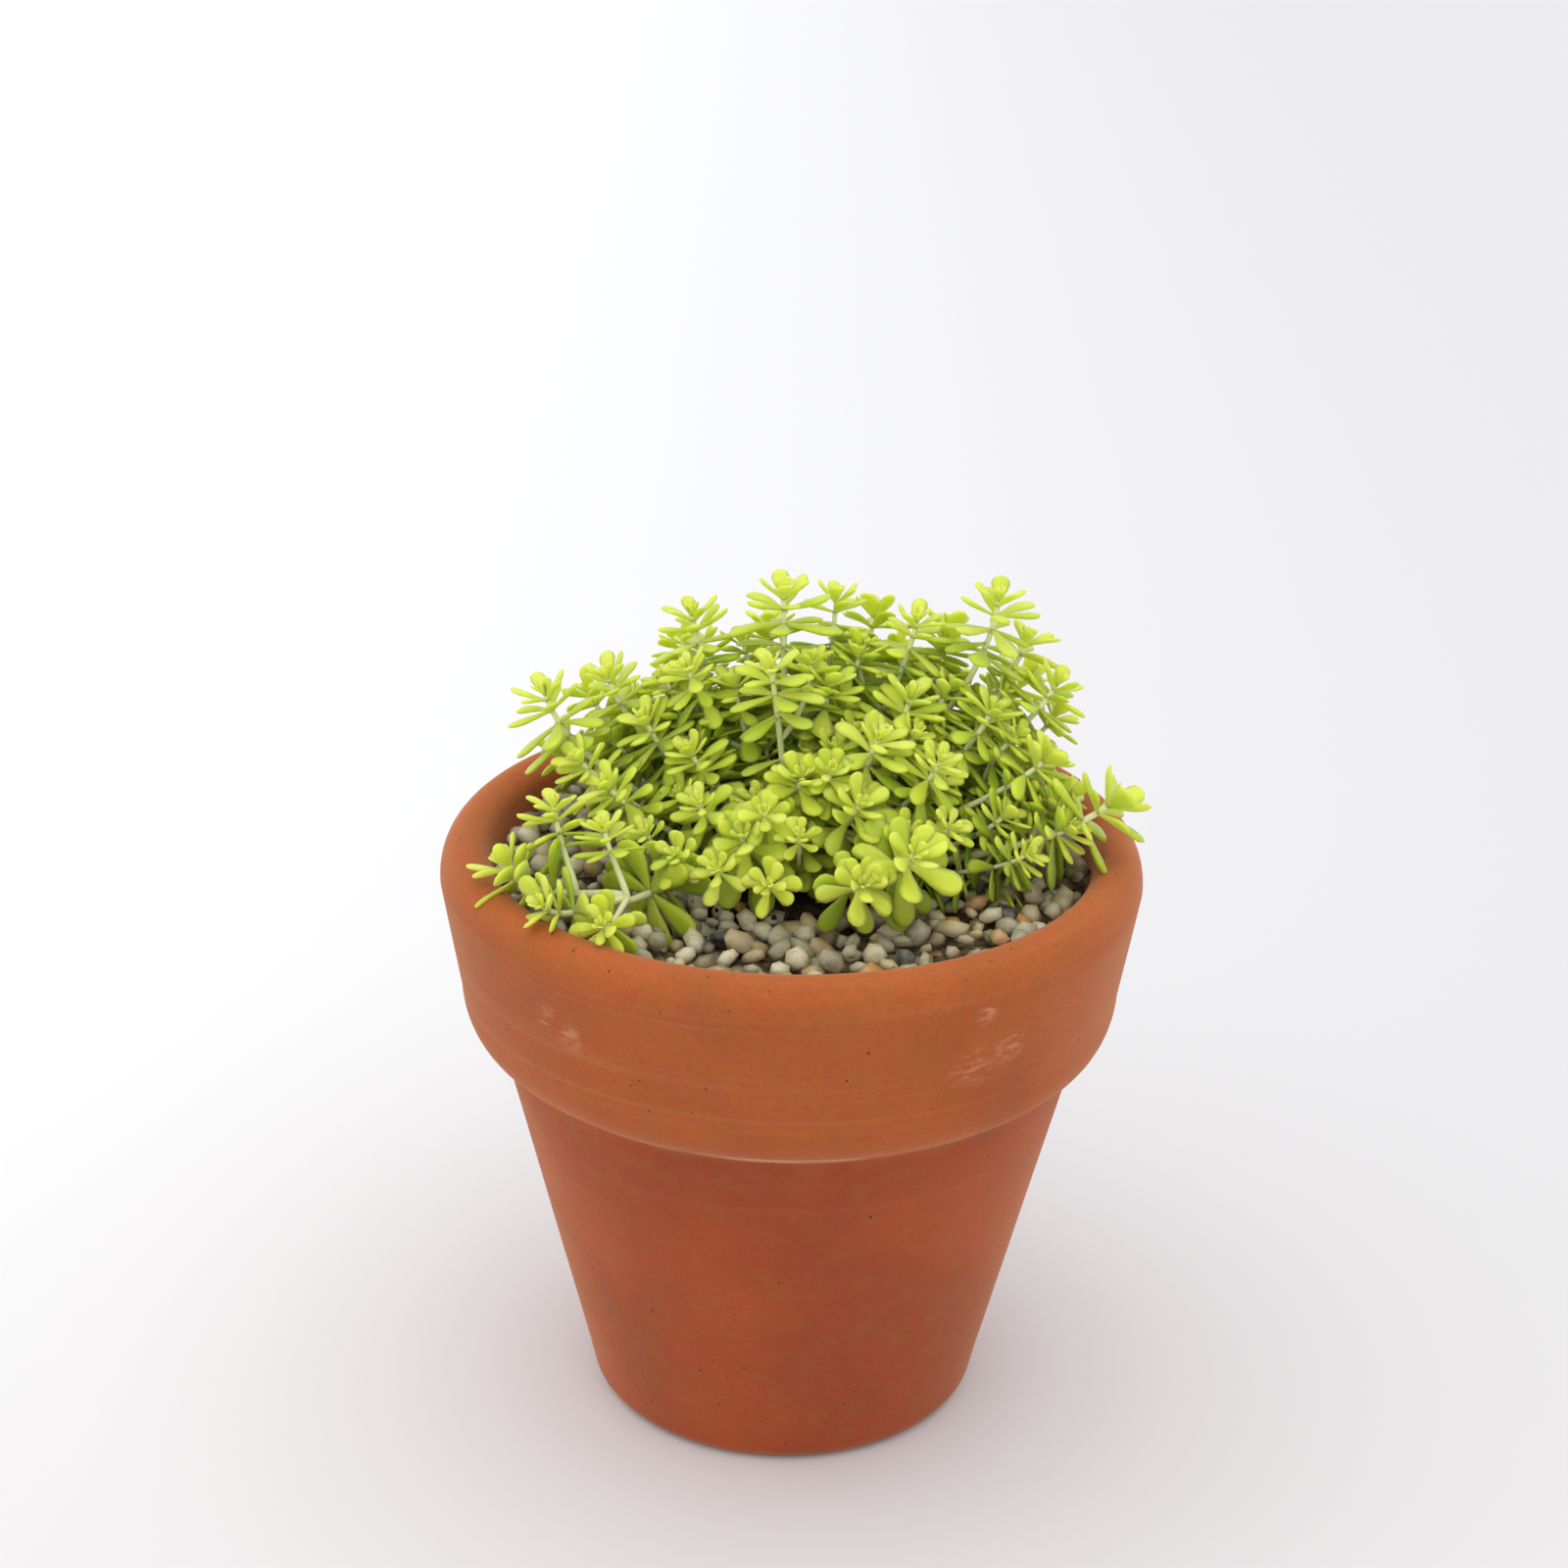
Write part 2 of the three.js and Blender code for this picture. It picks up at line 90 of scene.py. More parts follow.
def arc(centre, radii, start, end, steps):
    """Points along a stretch of an ellipse in the profile, from one angle to another in degrees."""
    points = []
    for step in range(steps + 1):
        angle = math.radians(start + (end - start) * step / steps)
        points.append((centre[0] + radii[0] * math.cos(angle), centre[1] + radii[1] * math.sin(angle)))
    return points


def straight(start, end, steps):
    """Points along a straight stretch of the profile, its two ends left out."""
    return [
        (start[0] + (end[0] - start[0]) * step / steps, start[1] + (end[1] - start[1]) * step / steps)
        for step in range(1, steps)
    ]


def profile_mesh(name, points, closed):
    """A profile's points (radius, height) as a chain of edges. Its Y runs down, as the sweep needs it."""
    mesh = bpy.data.meshes.new(name)
    edges = [(index, index + 1) for index in range(len(points) - 1)]
    if closed:
        edges.append((len(points) - 1, 0))
    corners = [((radius - rim_radius) * MM, -height * MM, 0) for radius, height in points]
    mesh.from_pydata(corners, edges, [])
    return mesh


def node(tree, kind, inputs=None, **settings):
    """A node with its settings made, and its sockets linked or given a plain value."""
    made = tree.nodes.new(kind)
    for name, value in settings.items():
        setattr(made, name, value)
    for name, value in (inputs or {}).items():
        if isinstance(value, bpy.types.NodeSocket):
            tree.links.new(value, made.inputs[name])
        else:
            made.inputs[name].default_value = value
    return made


def out(tree, kind, inputs=None, **settings):
    """The first output of a new node."""
    return node(tree, kind, inputs, **settings).outputs[0]


def calc(tree, operation, *values):
    """One step of arithmetic between sockets and numbers."""
    return out(tree, "ShaderNodeMath", dict(enumerate(values)), operation=operation)


def new_tree(name, inputs):
    """A geometry tree with the named inputs, and the sockets that give them."""
    tree = bpy.data.node_groups.new(name, "GeometryNodeTree")
    tree.interface.new_socket("Geometry", in_out="INPUT", socket_type="NodeSocketGeometry")
    tree.interface.new_socket("Geometry", in_out="OUTPUT", socket_type="NodeSocketGeometry")
    for label, value in inputs.items():
        kind = {float: "NodeSocketFloat", int: "NodeSocketInt"}.get(type(value))
        if kind is None:
            kind = "NodeSocket" + value
            value = None
        socket = tree.interface.new_socket(label, in_out="INPUT", socket_type=kind)
        if value is not None:
            socket.default_value = value
    return tree, node(tree, "NodeGroupInput").outputs


def made_by(tree, name, source, values):
    """What a tree makes of a source mesh, as an object with a plain mesh at the origin."""
    host = bpy.data.objects.new(name, source)
    bpy.context.scene.collection.objects.link(host)
    modifier = host.modifiers.new(tree.name, "NODES")
    modifier.node_group = tree
    for socket in tree.interface.items_tree:
        if socket.in_out == "INPUT" and socket.name in values:
            modifier[socket.identifier] = values[socket.name]
    depsgraph = bpy.context.evaluated_depsgraph_get()
    mesh = bpy.data.meshes.new_from_object(
        host.evaluated_get(depsgraph), preserve_all_data_layers=True, depsgraph=depsgraph
    )
    host.modifiers.remove(modifier)
    host.data = mesh
    mesh.name = name
    return host


def painted(tree, geometry, material):
    """The geometry with its material set."""
    return out(tree, "GeometryNodeSetMaterial", {"Geometry": geometry, "Material": material})


def turning_tree():
    """Turns a profile round the upright axis, and makes the surface slightly uneven."""
    tree, given = new_tree("turning", {
        "Rim Radius": rim_radius * MM, "Sides": pot_sides, "Unevenness": 0.0, "Lump Scale": 30.0,
        "Material": "Material",
    })
    profile = node(tree, "GeometryNodeMeshToCurve", {"Mesh": given["Geometry"]})
    round_path = node(tree, "GeometryNodeCurvePrimitiveCircle", {
        "Resolution": given["Sides"], "Radius": given["Rim Radius"],
    })
    swept = node(tree, "GeometryNodeCurveToMesh", {
        "Curve": round_path.outputs["Curve"], "Profile Curve": profile.outputs["Curve"],
    })
    merged = node(tree, "GeometryNodeMergeByDistance", {
        "Geometry": swept.outputs["Mesh"], "Distance": 0.01 * MM,
    })
    lumps = node(tree, "ShaderNodeTexNoise", {
        "Vector": out(tree, "GeometryNodeInputPosition"),
        "Scale": given["Lump Scale"], "Detail": 3.0,
    })
    height = calc(tree, "MULTIPLY", calc(tree, "SUBTRACT", lumps.outputs["Fac"], 0.5), given["Unevenness"])
    push = out(tree, "ShaderNodeVectorMath", {
        "Vector": out(tree, "GeometryNodeInputNormal"), "Scale": height,
    }, operation="SCALE")
    moved = node(tree, "GeometryNodeSetPosition", {
        "Geometry": merged.outputs["Geometry"], "Offset": push,
    })
    smooth = out(tree, "GeometryNodeSetShadeSmooth", {"Geometry": moved.outputs["Geometry"]})
    node(tree, "NodeGroupOutput", {"Geometry": painted(tree, smooth, given["Material"])})
    return tree


def shade(red, green, blue):
    """A colour given as it looks on a screen, 0 to 255, as the linear colour that a shader takes."""
    def linear(part):
        part /= 255
        return part / 12.92 if part <= 0.04045 else ((part + 0.055) / 1.055) ** 2.4
    return (linear(red), linear(green), linear(blue), 1.0)


def new_material(name, settings):
    """A material with its tree, its shader, and the place on the object that its patterns read."""
    material = bpy.data.materials.new(name)
    material.use_nodes = True
    tree = material.node_tree
    shader = tree.nodes["Principled BSDF"]
    for label, value in settings.items():
        shader.inputs[label].default_value = value
    place = node(tree, "ShaderNodeTexCoord").outputs["Object"]
    return material, tree, shader, place


def noise(tree, place, scale, detail):
    return node(tree, "ShaderNodeTexNoise", {
        "Vector": place, "Scale": scale, "Detail": detail,
    }).outputs["Fac"]


def between(tree, value, low, high, start=0.0, end=1.0):
    """A value carried smoothly from start to end as it goes from low to high."""
    return node(tree, "ShaderNodeMapRange", {
        "Value": value, "From Min": low, "From Max": high, "To Min": start, "To Max": end,
    }, interpolation_type="SMOOTHSTEP").outputs["Result"]


def tinted(tree, share, under, over):
    """One colour laid over another, in the share that a pattern gives."""
    mixed = node(tree, "ShaderNodeMix", data_type="RGBA")
    for index, value in ((0, share), (6, under), (7, over)):
        if isinstance(value, bpy.types.NodeSocket):
            tree.links.new(value, mixed.inputs[index])
        else:
            mixed.inputs[index].default_value = value
    return mixed.outputs[2]


def stretched(tree, place, scale):
    return node(tree, "ShaderNodeMapping", {"Vector": place, "Scale": scale}).outputs["Vector"]


def finished(tree, shader, colour, *layers):
    """Gives the shader its colour, and bumps laid one on another: each a pattern and its depth in metres."""
    tree.links.new(colour, shader.inputs["Base Color"])
    normal = None
    for pattern, depth in layers:
        bump = node(tree, "ShaderNodeBump", {"Height": pattern, "Distance": depth})
        if normal:
            tree.links.new(normal, bump.inputs["Normal"])
        normal = bump.outputs["Normal"]
    tree.links.new(normal, shader.inputs["Normal"])


def terracotta():
    """Fired red clay: orange on the rim, redder below, clouded, with lime bloom, specks and scuffs."""
    material, tree, shader, place = new_material("terracotta", {
        "Roughness": 0.85, "Specular IOR Level": 0.25, "Sheen Weight": 0.35, "Sheen Roughness": 0.45,
        "Sheen Tint": shade(255, 205, 160),
    })
    height = node(tree, "ShaderNodeSeparateXYZ", {"Vector": place}).outputs["Z"]
    clouds = noise(tree, place, 34.0, 3.0)
    grain = noise(tree, place, 1500.0, 3.0)
    turning_lines = noise(tree, stretched(tree, place, (5.0, 5.0, 520.0)), 1.0, 3.0)
    body = tinted(tree, between(tree, clouds, 0.35, 0.65), shade(172, 74, 30), shade(156, 66, 32))
    band = tinted(tree, between(tree, clouds, 0.38, 0.66), shade(178, 88, 38), shade(166, 78, 36))
    colour = tinted(tree, between(tree, height, 60.5 * MM, 62.0 * MM), body, band)
    lip = between(tree, height, 86.0 * MM, 91.0 * MM, 0.0, 0.6)
    colour = tinted(tree, lip, colour, shade(188, 100, 44))
    on_band = between(tree, height, 62.0 * MM, 66.0 * MM, 0.3, 1.0)
    streaks = calc(tree, "MULTIPLY", between(tree, turning_lines, 0.52, 0.75, 0.0, 0.16), on_band)
    colour = tinted(tree, streaks, colour, shade(206, 140, 100))
    grey = between(tree, noise(tree, place, 70.0, 6.0), 0.52, 0.72, 0.0, 0.3)
    colour = tinted(tree, grey, colour, shade(146, 88, 56))
    mottle = noise(tree, place, 240.0, 6.0)
    colour = tinted(tree, between(tree, mottle, 0.48, 0.7, 0.0, 0.3), colour, shade(150, 96, 40))
    colour = tinted(tree, between(tree, mottle, 0.5, 0.3, 0.0, 0.25), colour, shade(180, 70, 48))
    colour = tinted(tree, between(tree, grain, 0.3, 0.7, 0.0, 0.18), colour, shade(120, 52, 28))
    specks = between(tree, noise(tree, place, 900.0, 1.0), 0.765, 0.8, 0.0, 0.8)
    colour = tinted(tree, specks, colour, shade(70, 34, 22))
    crease = calc(tree, "ABSOLUTE", calc(tree, "SUBTRACT", height, (crease_height - 0.1) * MM))
    lime_line = between(tree, crease, 0.4 * MM, 1.0 * MM, 1.0, 0.0)
    broken = between(tree, noise(tree, place, 55.0, 4.0), 0.34, 0.6, 0.25, 0.9)
    colour = tinted(tree, calc(tree, "MULTIPLY", lime_line, broken), colour, shade(216, 158, 126))
    smeared = stretched(tree, place, (420.0, 420.0, 1100.0))
    crumbly = between(tree, noise(tree, smeared, 1.0, 8.0), 0.38, 0.85)
    for scuff_place, scuff_size in scuffs:
        away = node(tree, "ShaderNodeVectorMath", {
            0: place, 1: Vector(scuff_place) * MM,
        }, operation="DISTANCE").outputs["Value"]
        mark = between(tree, away, 0.2 * scuff_size * MM, scuff_size * MM, 0.7, 0.0)
        colour = tinted(tree, calc(tree, "MULTIPLY", mark, crumbly), colour, shade(214, 164, 126))
    tree.links.new(between(tree, clouds, 0.3, 0.7, 0.74, 0.9), shader.inputs["Roughness"])
    finished(tree, shader, colour, (grain, 0.05 * MM), (streaks, 0.16 * MM), (specks, -0.12 * MM))
    return material


pot_profile = [
    (drain_radius, 0.0),
    *straight((drain_radius, 0), (base_radius - foot_round, 0), 6),
    *arc((base_radius - foot_round, foot_round), (foot_round, foot_round), -90, -8, 7),
    *straight((base_radius, foot_round), (body_top_radius, crease_height), 20),
    (body_top_radius, crease_height - 0.25),
    (body_top_radius + 0.25, crease_height),
    *arc((crease_radius, band_foot_height), (band_foot_radius - crease_radius, 7.7), -80, 0, 9),
    *straight((band_foot_radius, band_foot_height), (rim_radius, pot_height - lip_round), 7),
    *arc((lip_crown_radius, pot_height - lip_round), (rim_radius - lip_crown_radius, lip_round), 0, 90, 10),
    *arc((lip_crown_radius, wall_top_height),
         (lip_crown_radius - wall_top_radius, pot_height - wall_top_height), 100, 180, 7),
    *straight((wall_top_radius, wall_top_height), (wall_floor_radius, floor_thickness), 24),
    (wall_floor_radius, floor_thickness),
    *straight((wall_floor_radius, floor_thickness), (drain_radius, floor_thickness), 5),
    (drain_radius, floor_thickness),
]
turning = turning_tree()
clay = terracotta()
pot = made_by(turning, "clay_pot", profile_mesh("pot_profile", pot_profile, True), {
    "Unevenness": 0.3 * MM, "Lump Scale": 26.0, "Material": clay,
})
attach(pot, "root")
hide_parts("pot")

# Soil
# Dark potting compost, filled to a shelf under the grit and heaped to a low mound among the stems.
# Its top is crumbly, with loose crumbs lying on it.
clearance = 0.3
shelf_height = 80.0
mound_radius = 20.0
mound_edge_height = 87.2
mound_height = 88.4
soil_wall_gap = 1.2
crumb_spacing = 1.3
crumb_size = 0.75


def wall_radius(height):
    share = (height - floor_thickness) / (wall_top_height - floor_thickness)
    return wall_floor_radius + share * (wall_top_radius - wall_floor_radius)


def mesh_of(shape, name):
    """The shape as a plain mesh."""
    mesh = bpy.data.meshes.new(name)
    shape.to_mesh(mesh)
    shape.free()
    return mesh


def lump_mesh(name, seed, size, sharpness, refine):
    """A lump bounded by a few flat cuts that run softly into each other, as on a crumb or a pebble."""
    draw = random.Random(seed)
    cuts = []
    for _ in range(11):
        way = Vector((draw.gauss(0, 1), draw.gauss(0, 1), draw.gauss(0, 1))).normalized()
        cuts.append((way, draw.uniform(0.64, 1.0)))
    shape = bmesh.new()
    bmesh.ops.create_icosphere(shape, subdivisions=refine, radius=1)
    for corner in shape.verts:
        way = corner.co.normalized()
        reach = sum(max(0.0, way.dot(cut) / depth) ** sharpness for cut, depth in cuts)
        reach = max(reach, 0.8) ** (-1 / sharpness)
        corner.co = Vector(part * reach * side for part, side in zip(way, size))
    for face in shape.faces:
        face.smooth = True
    return mesh_of(shape, name)


def shape_set(name, meshes):
    """Shapes for a tree to pick from, kept out of the scene."""
    kept = bpy.data.collections.new(name)
    for mesh in meshes:
        kept.objects.link(bpy.data.objects.new(mesh.name, mesh))
    return kept


# A draw over this range is floored to pick a shape, and wraps round the number of shapes.
pick_range = 97.0


def drawn_from(tree, first_seed):
    """A function that draws a number for each element, each time from its own seed."""
    def drawn(low, high, offset):
        seed = out(tree, "FunctionNodeIntegerMath", {0: first_seed, 1: offset})
        return node(tree, "FunctionNodeRandomValue", {
            "Min": low, "Max": high, "Seed": seed,
        }, data_type="FLOAT").outputs[1]
    return drawn


def strewing_tree():
    """Strews shapes over a surface, no two nearer than the spacing, each turned and sized by a draw."""
    tree, given = new_tree("strewing", {
        "Shapes": "Collection", "Spacing": 3.4 * MM, "Smallest": 1.4 * MM, "Largest": 2.4 * MM,
        "Height Spread": 0.6 * MM, "Tip": 0.5, "Seed": 3, "Material": "Material", "Bed": "Object",
    })
    spots = node(tree, "GeometryNodeDistributePointsOnFaces", {
        "Mesh": given["Geometry"], "Distance Min": given["Spacing"], "Density Max": 4.0e6,
        "Seed": given["Seed"],
    }, distribute_method="POISSON")
    drawn = drawn_from(tree, given["Seed"])
    lift = out(tree, "ShaderNodeCombineXYZ", {
        "Z": calc(tree, "MULTIPLY", drawn(-1.0, 1.0, 1), given["Height Spread"]),
    })
    lifted = out(tree, "GeometryNodeSetPosition", {
        "Geometry": spots.outputs["Points"], "Offset": lift,
    })
    tip = calc(tree, "MULTIPLY", drawn(-1.0, 1.0, 2), given["Tip"])
    roll = calc(tree, "MULTIPLY", drawn(-1.0, 1.0, 3), given["Tip"])
    turn = out(tree, "ShaderNodeCombineXYZ", {"X": tip, "Y": roll, "Z": drawn(0.0, 6.283, 4)})
    rotation = out(tree, "FunctionNodeEulerToRotation", {"Euler": turn})
    shapes = out(tree, "GeometryNodeCollectionInfo", {
        "Collection": given["Shapes"], "Separate Children": True, "Reset Children": True,
    })
    pick = calc(tree, "FLOOR", drawn(0.0, pick_range, 5))
    strewn = out(tree, "GeometryNodeInstanceOnPoints", {
        "Points": lifted, "Instance": shapes, "Pick Instance": True,
        "Instance Index": pick, "Rotation": rotation,
        "Scale": drawn(given["Smallest"], given["Largest"], 6),
    })
    toned = out(tree, "GeometryNodeStoreNamedAttribute", {
        "Geometry": strewn, "Name": "tone", "Value": drawn(0.0, 1.0, 7),
    }, data_type="FLOAT", domain="INSTANCE")
    real = out(tree, "GeometryNodeRealizeInstances", {"Geometry": toned})
    stones = painted(tree, real, given["Material"])
    bed = node(tree, "GeometryNodeObjectInfo", {"Object": given["Bed"]})
    joined = node(tree, "GeometryNodeJoinGeometry")
    tree.links.new(bed.outputs["Geometry"], joined.inputs[0])
    tree.links.new(stones, joined.inputs[0])
    node(tree, "NodeGroupOutput", {"Geometry": joined.outputs[0]})
    return tree


def disc_mesh(name, rings):
    """Flat rings, given as (inner radius, outer radius, height), for things to be strewn on."""
    shape = bmesh.new()
    sides = 64
    for inner, outer, height in rings:
        rows = []
        for radius in (inner, outer):
            row = []
            for side in range(sides):
                angle = 2 * math.pi * side / sides
                row.append(shape.verts.new(
                    Vector((radius * math.cos(angle), radius * math.sin(angle), height)) * MM
                ))
            rows.append(row)
        for side in range(sides):
            after = (side + 1) % sides
            shape.faces.new((rows[0][side], rows[1][side], rows[1][after], rows[0][after]))
    return mesh_of(shape, name)


def compost():
    """Damp peat and bark: near black, with browner crumbs."""
    material, tree, shader, place = new_material("compost", {
        "Roughness": 0.95, "Specular IOR Level": 0.25,
    })
    coarse = noise(tree, place, 420.0, 4.0)
    fine = noise(tree, place, 1700.0, 4.0)
    colour = tinted(tree, between(tree, coarse, 0.4, 0.65), shade(34, 26, 20), shade(70, 52, 38))
    colour = tinted(tree, between(tree, fine, 0.62, 0.75, 0.0, 0.5), colour, shade(120, 98, 74))
    finished(tree, shader, colour, (coarse, 0.5 * MM), (fine, 0.25 * MM))
    return material


soil_bottom = floor_thickness + clearance + 0.4
soil_profile = [
    (0.0, soil_bottom),
    (wall_radius(soil_bottom) - soil_wall_gap, soil_bottom),
    *straight((wall_radius(soil_bottom), soil_bottom), (wall_radius(shelf_height), shelf_height), 4),
    (wall_radius(shelf_height) - soil_wall_gap, shelf_height),
    *straight((wall_radius(shelf_height), shelf_height), (mound_radius, shelf_height), 8),
    (mound_radius - 0.4, shelf_height),
    *straight((mound_radius, shelf_height), (mound_radius, mound_edge_height), 6),
    (mound_radius - 0.4, mound_edge_height - 0.3),
    *straight((mound_radius, mound_edge_height), (0, mound_height), 26),
    (0.0, mound_height),
]
compost_material = compost()
soil_body = made_by(turning, "soil_body", profile_mesh("soil_profile", soil_profile, False), {
    "Sides": 120, "Unevenness": 1.1 * MM, "Lump Scale": 340.0, "Material": compost_material,
})
strewing = strewing_tree()
crumb_shapes = shape_set("crumbs", [
    lump_mesh(f"crumb_{seed}", 40 + seed, (1.0, 0.8, 0.7), 9, 1) for seed in range(5)
])
soil = made_by(strewing, "soil_crumbs", disc_mesh("soil_top", [(1, 22.5, mound_edge_height + 0.6)]), {
    "Shapes": crumb_shapes, "Spacing": crumb_spacing * MM, "Smallest": 0.3 * crumb_size * MM,
    "Largest": crumb_size * MM, "Height Spread": 0.5 * MM, "Tip": 1.5, "Seed": 5,
    "Material": compost_material, "Bed": soil_body,
})
bpy.data.objects.remove(soil_body)
soil.name = "potting_soil"
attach(soil, "root")
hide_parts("soil")

# Grit
# The top dressing is washed river grit of 3 to 6 mm, poured on the soil from the mound to the wall:
# smooth stones of quartz, limestone and flint, off-white, grey, buff and ochre, with a few black ones.
grit_spacing = 2.85
stone_layers = [
    (mound_radius + 1.0, 43.3, 84.2),
    (mound_radius - 0.5, 43.3, 86.0),
    (mound_radius - 1.5, 42.9, 87.5),
]
stone_sizes = [
    (1.00, 0.84, 0.66), (1.12, 0.74, 0.62), (0.95, 0.88, 0.74), (1.25, 0.66, 0.58),
    (1.00, 0.78, 0.56), (0.90, 0.82, 0.80), (1.15, 0.86, 0.60), (1.05, 0.70, 0.68),
]
# The share of the stones at which each colour starts.
stone_colours = [
    (0.00, shade(214, 204, 170)),
    (0.22, shade(178, 170, 136)),
    (0.38, shade(148, 142, 108)),
    (0.50, shade(194, 174, 128)),
    (0.62, shade(156, 150, 124)),
    (0.72, shade(166, 142, 94)),
    (0.80, shade(112, 94, 62)),
    (0.87, shade(186, 136, 66)),
    (0.925, shade(128, 88, 50)),
    (0.965, shade(36, 38, 42)),
]


def river_stone():
    """Water-worn stones with a soft polish. Each has one ground colour, clouded and faintly veined."""
    material, tree, shader, place = new_material("river_stone", {
        "Roughness": 0.42, "Specular IOR Level": 0.45, "Subsurface Weight": 0.25,
        "Subsurface Radius": (1.0, 0.85, 0.65), "Subsurface Scale": 0.8 * MM,
    })
    tone = node(tree, "ShaderNodeAttribute", attribute_name="tone").outputs["Fac"]
    ramp = node(tree, "ShaderNodeValToRGB", {"Fac": tone})
    ramp.color_ramp.interpolation = "CONSTANT"
    for index, (share, colour) in enumerate(stone_colours):
        stop = ramp.color_ramp.elements[index] if index < 2 else ramp.color_ramp.elements.new(share)
        stop.position = share
        stop.color = colour
    clouds = noise(tree, place, 380.0, 4.0)
    fine = noise(tree, place, 1600.0, 3.0)
    veins = between(tree, noise(tree, stretched(tree, place, (180.0, 620.0, 300.0)), 1.0, 5.0), 0.57, 0.63)
    clouded = between(tree, clouds, 0.35, 0.7, 0.0, 0.3)
    colour = tinted(tree, clouded, ramp.outputs["Color"], shade(226, 220, 196))
    colour = tinted(tree, calc(tree, "MULTIPLY", veins, 0.3), colour, shade(150, 118, 84))
    colour = tinted(tree, between(tree, fine, 0.6, 0.75, 0.0, 0.3), colour, shade(96, 84, 68))
    tree.links.new(between(tree, clouds, 0.3, 0.7, 0.34, 0.58), shader.inputs["Roughness"])
    finished(tree, shader, colour, (clouds, 0.16 * MM), (fine, 0.05 * MM))
    return material


def wet_sand():
    """The finest of the grit between the stones: brown and damp, and dark as painted shade in the gaps."""
    material, tree, shader, place = new_material("wet_sand", {"Roughness": 0.9, "Specular IOR Level": 0.3})
    coarse = noise(tree, place, 900.0, 4.0)
    # Its dark brown is partly real damp sand and partly painted shade for the gaps between the stones.
    colour = tinted(tree, between(tree, coarse, 0.35, 0.65), shade(72, 58, 42), shade(132, 112, 80))
    finished(tree, shader, colour, (coarse, 0.4 * MM))
    return material


grit_profile = [
    (mound_radius + 0.5, shelf_height + clearance),
    (wall_radius(shelf_height) - 0.5, shelf_height + clearance),
    *straight((wall_radius(shelf_height), shelf_height), (wall_radius(85), 85), 3),
    (wall_radius(85) - 0.5, 85.0),
    *straight((wall_radius(85), 85), (mound_radius, 85), 18),
    (mound_radius + 0.5, 85.0),
]
grit_bed = made_by(turning, "grit_bed", profile_mesh("grit_profile", grit_profile, True), {
    "Sides": 120, "Unevenness": 1.0 * MM, "Lump Scale": 420.0, "Material": wet_sand(),
})
stone_shapes = shape_set("stones", [
    lump_mesh(f"stone_{index}", 60 + index, size, 14, 1) for index, size in enumerate(stone_sizes)
])
grit = made_by(strewing, "top_grit", disc_mesh("grit_layers", stone_layers), {
    "Shapes": stone_shapes, "Spacing": grit_spacing * MM, "Smallest": 1.25 * MM, "Largest": 3.0 * MM,
    "Height Spread": 0.5 * MM, "Tip": 0.7, "Seed": 8, "Material": river_stone(), "Bed": grit_bed,
})
bpy.data.objects.remove(grit_bed)
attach(grit, "root")
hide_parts("gravel")

# Leafy stems
# A golden stonecrop: thin pale stems that leave the soil upright and lean out. Each is set with rings
# of fleshy club-shaped leaves, spaced apart below and crowded into a bright rosette at the tip, and
# bears short leafy side shoots. Their feet reach a little way down into the soil.
stem_radius = 0.55
root_depth = 3.3
leaf_length = 7.0
leaf_rings = [
    # share of the length, half width, half thickness, both as shares of the leaf's length
    (0.00, 0.058, 0.042),
    (0.15, 0.066, 0.042),
    (0.33, 0.116, 0.054),
    (0.54, 0.186, 0.068),
    (0.75, 0.232, 0.078),
    (0.90, 0.194, 0.066),
    (0.98, 0.104, 0.040),
]
leaf_sides = 6
whorl_spacing = 5.8
golden_turn = math.radians(137.5)
# The rosette: its length, how far its first leaf tilts from the stem, and how much more each ring tilts.
rosette_length = 7.2
first_tilt = 30
tilt_step = 21
# Below it the leaves stand out from the stem, and each ring is turned by this share of a leaf's sector.
spread_tilt = 92
ring_turn = 0.56
# How far the leaves of one ring are scattered along the stem.
scatter = 1.1


def leaf_mesh(name, curl, sway):
    """One leaf standing on its root, a unit long. Its upper side faces -X, and it curls that way."""
    shape = bmesh.new()
    share_of = {}

    def corner(share, across, through):
        bend = -curl * share * share
        spot = shape.verts.new((bend + through, across + sway * share * share, share))
        share_of[spot] = share
        return spot
    rows = []
    for share, half_width, half_thickness in leaf_rings:
        row = []
        for side in range(leaf_sides):
            angle = 2 * math.pi * (side + 0.5) / leaf_sides
            through = half_thickness * math.cos(angle)
            if through < 0:
                through *= 0.7
            row.append(corner(share, half_width * math.sin(angle), through))
        rows.append(row)
    tip = corner(1.0, 0.0, 0.0)
    root = corner(-0.01, 0.0, 0.0)
    for side in range(leaf_sides):
        after = (side + 1) % leaf_sides
        for low, high in zip(rows, rows[1:]):
            shape.faces.new((low[side], low[after], high[after], high[side]))
        shape.faces.new((rows[-1][side], rows[-1][after], tip))
        shape.faces.new((rows[0][after], rows[0][side], root))
    for face in shape.faces:
        face.smooth = True
    bmesh.ops.recalc_face_normals(shape, faces=shape.faces)
    shape.verts.index_update()
    shares = [share_of[spot] for spot in shape.verts]
    mesh = mesh_of(shape, name)
    along = mesh.attributes.new("along", "FLOAT", "POINT")
    along.data.foreach_set("value", [max(0.0, share) for share in shares])
    return mesh


